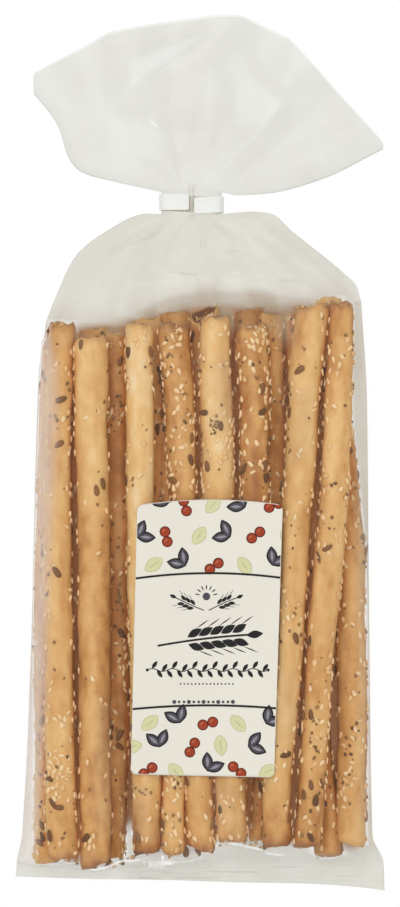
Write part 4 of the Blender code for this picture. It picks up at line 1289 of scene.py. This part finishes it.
# the print on the label: a plain field between two bands of leaves and berries
inks = {
    "blackInk": ((0.016, 0.015, 0.015), (0.026, 0.025, 0.025)),
    "charcoalInk": ((0.062, 0.058, 0.070), (0.100, 0.094, 0.110)),
    "greyInk": ((0.22, 0.21, 0.24), (0.34, 0.32, 0.35)),
    "rustInk": ((0.30, 0.042, 0.018), (0.42, 0.068, 0.028)),
    "darkRustInk": ((0.085, 0.016, 0.010), (0.13, 0.024, 0.014)),
    "paleRustInk": ((0.46, 0.12, 0.06), (0.54, 0.17, 0.09)),
    "greenInk": ((0.64, 0.630, 0.350), (0.72, 0.710, 0.430)),
    "darkGreenInk": ((0.50, 0.480, 0.230), (0.58, 0.550, 0.290)),
}
inkShapes = {name: ([], []) for name in inks}


def inkPatch(ink, outline, layer=1):
    # a flat patch of ink with its outline in mm on the label, cut off at the label's edge
    points, faces = inkShapes[ink]
    first = len(points)
    for x, y in outline:
        points.append(Vector((x, y, labelHeight(x, y) + label["inkLift"] * layer)) * mm)
    faces.append(tuple(range(first, first + len(outline))))


def insideLabel(outline, margin=0.25):
    # keeps an outline inside the paper by pulling its points in
    kept = []
    for x, y in outline:
        up = (y - label["footLeft"][1]) / (label["topLeft"][1] - label["footLeft"][1])
        left = mix(label["footLeft"][0], label["topLeft"][0], up) + margin
        right = mix(label["footRight"][0], label["topRight"][0], up) - margin
        x = min(max(x, left), right)
        s = (x - left) / (right - left)
        top = mix(label["topLeft"][1], label["topRight"][1], s) + label["arch"] * 4 * s * (1 - s) - margin
        foot = mix(label["footLeft"][1], label["footRight"][1], s) + margin
        kept.append((x, min(max(y, foot), top)))
    return kept


def leafOutline(x, y, length, width, turn, steps=10, point=1.0):
    outline = []
    for side in (1, -1):
        for step in range(steps):
            t = step / steps if side == 1 else 1 - step / steps
            out = side * width / 2 * math.sin(math.pi * t) ** point
            run = (t - 0.5) * length
            outline.append((x + run * math.cos(turn) - out * math.sin(turn), y + run * math.sin(turn) + out * math.cos(turn)))
    return outline


def discOutline(x, y, radius, steps=18, squash=1.0):
    return [(x + radius * math.cos(2 * math.pi * k / steps), y + radius * squash * math.sin(2 * math.pi * k / steps))
            for k in range(steps)]


def inkStroke(ink, line, widths, layer=1):
    # a stroke along a line, as wide at each point as widths says
    points, faces = inkShapes[ink]
    first = len(points)
    for k, (x, y) in enumerate(line):
        xa, ya = line[max(0, k - 1)]
        xb, yb = line[min(len(line) - 1, k + 1)]
        length = math.hypot(xb - xa, yb - ya)
        half = widths[k] / 2 if isinstance(widths, list) else widths / 2
        for side in (-1, 1):
            px, py = x - side * half * (yb - ya) / length, y + side * half * (xb - xa) / length
            points.append(Vector((px, py, labelHeight(px, py) + label["inkLift"] * layer)) * mm)
    faces.extend((first + 2 * k, first + 2 * k + 2, first + 2 * k + 3, first + 2 * k + 1) for k in range(len(line) - 1))


def bowedLine(x0, x1, y0, y1, bow, steps=48):
    return [(mix(x0, x1, k / steps), mix(y0, y1, k / steps) + bow * 4 * (k / steps) * (1 - k / steps))
            for k in range(steps + 1)]


def leafPair(x, y, turn):
    # a sprig of two charcoal leaves with dark rims and paler ribs
    for side in (1, -1):
        lean = turn + side * 0.62
        cx, cy = x + 3.2 * math.cos(lean), y + 3.2 * math.sin(lean)
        inkPatch("blackInk", insideLabel(leafOutline(cx, cy, 7.8, 4.3, lean, 12, 0.9)))
        inkPatch("charcoalInk", insideLabel(leafOutline(cx, cy, 6.4, 3.0, lean, 12)), 2)
        inkPatch("greyInk", insideLabel(leafOutline(cx, cy, 4.4, 1.2, lean)), 3)


def berryPair(x, y, turn):
    for side in (1, -1):
        cx, cy = x + side * 2.0 * math.cos(turn), y + side * 2.0 * math.sin(turn)
        inkPatch("darkRustInk", insideLabel(discOutline(cx, cy, 2.15)))
        inkPatch("rustInk", insideLabel(discOutline(cx, cy, 1.75)), 2)
        inkPatch("paleRustInk", insideLabel(leafOutline(cx - 0.5, cy + 0.5, 1.7, 0.7, 0.8)), 3)


def grainShape(x, y, turn):
    inkPatch("darkGreenInk", insideLabel(leafOutline(x, y, 8.3, 5.2, turn, 12, 0.7)))
    inkPatch("greenInk", insideLabel(leafOutline(x, y, 7.8, 4.7, turn, 12, 0.7)), 2)
    inkPatch("darkGreenInk", insideLabel(leafOutline(x, y, 5.2, 0.45, turn)), 3)


def makePrint():
    motifs = (leafPair, berryPair, grainShape)
    chance = random.Random("print")
    for band, (low, high) in enumerate(((-123.5, -104.5), (-43.5, -20.5))):
        rowsOf = 3
        for row in range(rowsOf):
            y = mix(low, high, row / (rowsOf - 1))
            count = 5
            for k in range(count + 1):
                x = mix(-26.5, 31.5, (k + (0.1 if row % 2 else -0.35)) / count) + (y + 73) * 0.03
                turn = chance.uniform(-0.5, 0.5) + (0.6 if (k + row) % 2 else 2.2)
                motifs[(k + 2 * row + band) % 3](x + chance.uniform(-0.8, 0.8), y + chance.uniform(-0.6, 0.6), turn)
    for y, bow in ((-48.6, 1.9), (-99.4, 1.3)):
        up = (y + 125) / 105
        x0 = mix(label["footLeft"][0], label["topLeft"][0], up) + 0.1
        x1 = mix(label["footRight"][0], label["topRight"][0], up) - 0.1
        inkStroke("blackInk", bowedLine(x0, x1, y, y + 0.3, bow), 0.8, 4)
    # an ear of wheat lying across the field, and two small ones over it
    drawEar(-16.5, -74.8, 36.5, 0.12, 1.75, "blackInk")
    drawEar(1.6, -61.0, 12.5, 2.72, 0.80, "blackInk")
    drawEar(3.4, -61.0, 12.5, 0.42, 0.80, "blackInk")
    for k in range(7):
        turn = math.pi * (k + 0.5) / 7
        inkPatch("blackInk", leafOutline(2.5 + 3.6 * math.cos(turn), -55.6 + 3.6 * math.sin(turn), 2.2, 0.5, turn, 6))
    inkPatch("charcoalInk", discOutline(2.5, -55.6, 1.5, 20))
    # a vine of small leaves, and two rows of dots below it
    stem = [(mix(-20.5, 26.5, k / 72), -84.2 + 0.55 * math.sin(math.pi * k / 6)) for k in range(73)]
    inkStroke("blackInk", stem, 0.34)
    for k in range(1, 24):
        x, y = stem[3 * k]
        up = 1 if k % 2 else -1
        inkPatch("blackInk", leafOutline(x + 0.9, y + up * 1.5, 3.5, 1.5, up * 0.95, 10, 0.8))
    inkPatch("blackInk", discOutline(*stem[0], 0.6, 12))
    inkPatch("blackInk", discOutline(*stem[-1], 0.6, 12))
    for k in range(-7, 8):
        inkPatch("charcoalInk", leafOutline(2.6 + k * 1.45, -89.6, 1.0, 0.6, 0.9 if k % 2 else -0.9, 5))
    for k in range(-6, 7):
        inkPatch("charcoalInk", discOutline(1.4 + k * 1.9, -96.6, 0.55 if k % 3 else 0.8, 12))


def drawEar(x, y, length, turn, size, ink):
    # a stalk with paired grains and fine beards
    def at(run, out):
        bow = 0.04 * run * (1 - run / length) * 1.5
        return (x + run * math.cos(turn) - (out + bow) * math.sin(turn), y + run * math.sin(turn) + (out + bow) * math.cos(turn))
    inkStroke(ink, [at(length * k / 24, 0) for k in range(25)], 0.45 * size)
    pairs = int(length * 0.62 / (2.5 * size))
    for k in range(pairs):
        run = length * 0.36 + k * 2.5 * size
        for side in (1, -1):
            cx, cy = at(run + 1.0 * size, side * 1.55 * size)
            inkPatch(ink, leafOutline(cx, cy, 3.7 * size, 1.7 * size, turn + side * 0.42))
            bx, by = at(run + 3.0 * size, side * 3.3 * size)
            inkPatch(ink, leafOutline(bx, by, 3.6 * size, 0.26 * size, turn + side * 0.5, 6))
    cx, cy = at(length + 0.9 * size, 0)
    inkPatch(ink, leafOutline(cx, cy, 3.8 * size, 1.7 * size, turn))


def makeInk(name, colours):
    material, tree, shader = newMaterial(name)
    place = objectPlace(tree)
    speck = noiseTexture(tree, place, 2200, 2, 0.6)
    colour = addRamp(tree, speck, [(0.3, colours[0]), (0.7, colours[1])])
    tree.links.new(colour, shader.inputs["Base Color"])
    shader.inputs["Roughness"].default_value = 0.6
    shader.inputs["Specular IOR Level"].default_value = 0.12
    addBump(tree, shader, speck, 0.15, 0.00004)
    return material


makeLabel(makePaper())
makePrint()
for name, (points, faces) in inkShapes.items():
    piece = meshPiece(name, points, faces, makeInk(name, inks[name]), smooth=False)
    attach(piece, "root")
print("label printed")


# the clip: one band folded round the neck, its two ends meeting in front
clip = {"band": 6.4, "wall": 0.5, "gap": 1.9, "left": 98.60, "right": 97.55, "twist": 0.35, "bend": 14, "flat": 18}


def clipLine():
    middle = (clipLow + clipHigh) / 2 / mm
    rise = (clipHigh.z - clipLow.z) / mm / 2 - clip["wall"] / 2
    reach = (clipHigh.x - clipLow.x) / mm / 2 - clip["wall"] / 2 - rise
    line = []
    for k in range(clip["flat"]):
        t = k / clip["flat"]
        line.append((mix(-clip["gap"] / 2, -reach, t), clip["left"], rise + 0.10 * math.sin(math.pi * t)))
    for k in range(clip["bend"] + 1):
        turn = math.pi * k / clip["bend"]
        line.append((-reach - rise * math.sin(turn), clip["left"], rise * math.cos(turn)))
    for k in range(1, clip["flat"] * 2):
        t = k / (clip["flat"] * 2)
        line.append((mix(-reach, reach, t), mix(clip["left"], clip["right"], t), -rise))
    for k in range(clip["bend"] + 1):
        turn = math.pi * (1 - k / clip["bend"])
        line.append((reach + rise * math.sin(turn), clip["right"], rise * math.cos(turn)))
    for k in range(1, clip["flat"] + 1):
        t = k / clip["flat"]
        line.append((mix(reach, clip["gap"] / 2, t), clip["right"] - 0.35 * t, rise + 0.10 * math.sin(math.pi * t)))
    return [(middle.x + x, y, middle.z + z) for x, y, z in line]


def makeClip(material):
    line = clipLine()
    across = 12
    shape = bmesh.new()
    grid = []
    for k, (x, y, z) in enumerate(line):
        end = min(k, len(line) - 1 - k)
        trim = 0.35 * max(0.0, 1 - end / 2) ** 2
        row = []
        for step in range(across + 1):
            side = step / across - 0.5
            dish = -0.12 * (1 - (2 * side) ** 2) * (1 if z > clipHigh.z / mm / 2 else 0)
            wave = 0.05 * noiseAt(x * 0.5, side * 3, 7)
            row.append(shape.verts.new(Vector((x, y + side * (clip["band"] - 2 * trim), z + dish + wave)) * mm))
        grid.append(row)
    for a, b in zip(grid, grid[1:]):
        for step in range(across):
            shape.faces.new((a[step], a[step + 1], b[step + 1], b[step]))
    bmesh.ops.recalc_face_normals(shape, faces=shape.faces)
    mesh = bpy.data.meshes.new("neckClip")
    shape.to_mesh(mesh)
    shape.free()
    mesh.materials.append(material)
    mesh.shade_smooth()
    piece = bpy.data.objects.new("neckClip", mesh)
    bpy.context.scene.collection.objects.link(piece)
    wall = piece.modifiers.new("wall", "SOLIDIFY")
    wall.thickness = clip["wall"] * mm
    wall.offset = 0
    edge = piece.modifiers.new("softEdge", "BEVEL")
    edge.width = 0.12 * mm
    edge.segments = 2
    edge.limit_method = "ANGLE"
    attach(piece, "root")
    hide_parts("clip")
    return piece


def makeClipPlastic():
    material, tree, shader = newMaterial("whiteClip")
    place = objectPlace(tree)
    scuff = noiseTexture(tree, place, 500, 4, 0.6, (0.3, 1, 1))
    colour = addRamp(tree, scuff, [(0.3, (0.79, 0.80, 0.765)), (0.7, (0.84, 0.85, 0.815))])
    tree.links.new(colour, shader.inputs["Base Color"])
    shader.inputs["Roughness"].default_value = 0.38
    addBump(tree, shader, scuff, 0.2, 0.0001)
    return material


makeClip(makeClipPlastic())
print("clip folded")


# the studio: a bright pale floor with a painted shadow and a faint painted warm glow under the bag, an even sky, a wide
# lamp overhead and the camera above
studio = {"cameraHeight": 1.512, "lens": 151.7, "floor": 8.0, "floorGlow": 0.95, "sky": 0.68, "lamp": 11.5,
          "lampSize": 1.3, "lampPlace": (-0.25, 0.30, 1.7),
          # painted shadow under the bag: a warm brown floor with a faint warm glow, painted light seen through the gaps
          "shadedFloor": {"across": (-75, 75), "along": (-169, 71), "soft": 3.0, "colour": (0.42, 0.21, 0.10), "glow": (0.135, 0.056, 0.022),
                          "foot": [(-66, -160), (-41, -163), (-33, -160), (-28.5, -149), (-25.5, -149), (-21, -158), (0, -156.5), (12, -153), (30, -155.5),
                                   (45, -156), (64, -158)],
                          "top": [(-62, 50), (-30, 54), (-19, 57), (0, 60), (30, 60), (50, 62), (58, 60)],
                          "left": [(-160, -65), (50, -62)], "right": [(-160, 64), (-40, 64), (0, 59), (50, 57)]}}


def makeFloor():
    half = studio["floor"] / 2
    material, tree, shader = newMaterial("paleFloorPaintedShadow")
    place = objectPlace(tree)
    grain = noiseTexture(tree, place, 60, 3, 0.5)
    colour = addRamp(tree, grain, [(0.0, (0.055, 0.055, 0.055)), (1.0, (0.065, 0.065, 0.065))])
    tree.links.new(colour, shader.inputs["Base Color"])
    shader.inputs["Roughness"].default_value = 0.9
    shader.inputs["Specular IOR Level"].default_value = 0.0
    shader.inputs["Emission Strength"].default_value = studio["floorGlow"]
    # painted shadow: under the bag the floor's glow fades to a faint warm glow and its colour to a warm brown
    inner = studio["shadedFloor"]
    glow = addRamp(tree, readValues(tree, "open"), [(0.0, inner["glow"]), (1.0, (1, 1, 1))])
    tree.links.new(glow, shader.inputs["Emission Color"])
    paintedShadeColour = addRamp(tree, readValues(tree, "open"), [(0.0, inner["colour"]), (1.0, (0.060, 0.060, 0.060))])
    tree.links.new(paintedShadeColour, shader.inputs["Base Color"])
    lines = []
    for low, high in (inner["across"], inner["along"]):
        fine = [mix(low, high, k / 90) * mm for k in range(91)]
        lines.append([-half, -0.6, -0.3] + fine + [0.3, 0.6, half])
    points = [(x, y, -0.0002) for y in lines[1] for x in lines[0]]
    wide = len(lines[0])
    faces = [(j * wide + i, j * wide + i + 1, (j + 1) * wide + i + 1, (j + 1) * wide + i)
             for j in range(len(lines[1]) - 1) for i in range(wide - 1)]
    floor = meshPiece("floor", points, faces, material)
    opens = []
    for x, y, _ in points:
        left = smoothCurve(inner["left"], y / mm)
        right = smoothCurve(inner["right"], y / mm)
        inside = smoothStep(0, inner["soft"], x / mm - left) * smoothStep(0, inner["soft"], right - x / mm)
        foot, top = (smoothCurve(inner[end], min(58, max(-62, x / mm))) for end in ("foot", "top"))
        inside *= smoothStep(foot, foot + inner["soft"], y / mm)
        inside *= smoothStep(top, top - inner["soft"], y / mm)
        opens.append(1 - inside)
    addValues(floor, "open", opens)
    return floor


def makeLights():
    world = bpy.data.worlds.new("evenSky")
    world.use_nodes = True
    world.node_tree.nodes["Background"].inputs["Color"].default_value = (1, 1, 1, 1)
    world.node_tree.nodes["Background"].inputs["Strength"].default_value = studio["sky"]
    bpy.context.scene.world = world
    lamp = bpy.data.lights.new("overheadLamp", "AREA")
    lamp.shape = "SQUARE"
    lamp.size = studio["lampSize"]
    lamp.energy = studio["lamp"]
    lampObject = bpy.data.objects.new("overheadLamp", lamp)
    lampObject.location = studio["lampPlace"]
    aim = Vector((0, 0, 0)) - Vector(studio["lampPlace"])
    lampObject.rotation_euler = aim.to_track_quat("-Z", "Y").to_euler()
    bpy.context.scene.collection.objects.link(lampObject)


def makeCamera():
    middle = (bagLow + bagHigh) / 2
    camera = bpy.data.cameras.new("camera")
    camera.lens = studio["lens"]
    camera.sensor_width = 36
    camera.clip_end = 20
    cameraObject = bpy.data.objects.new("camera", camera)
    cameraObject.location = (middle.x, middle.y, studio["cameraHeight"])
    bpy.context.scene.collection.objects.link(cameraObject)
    bpy.context.scene.camera = cameraObject


makeFloor()
makeLights()
makeCamera()
bpy.context.scene.view_settings.view_transform = "Standard"
print("studio ready")
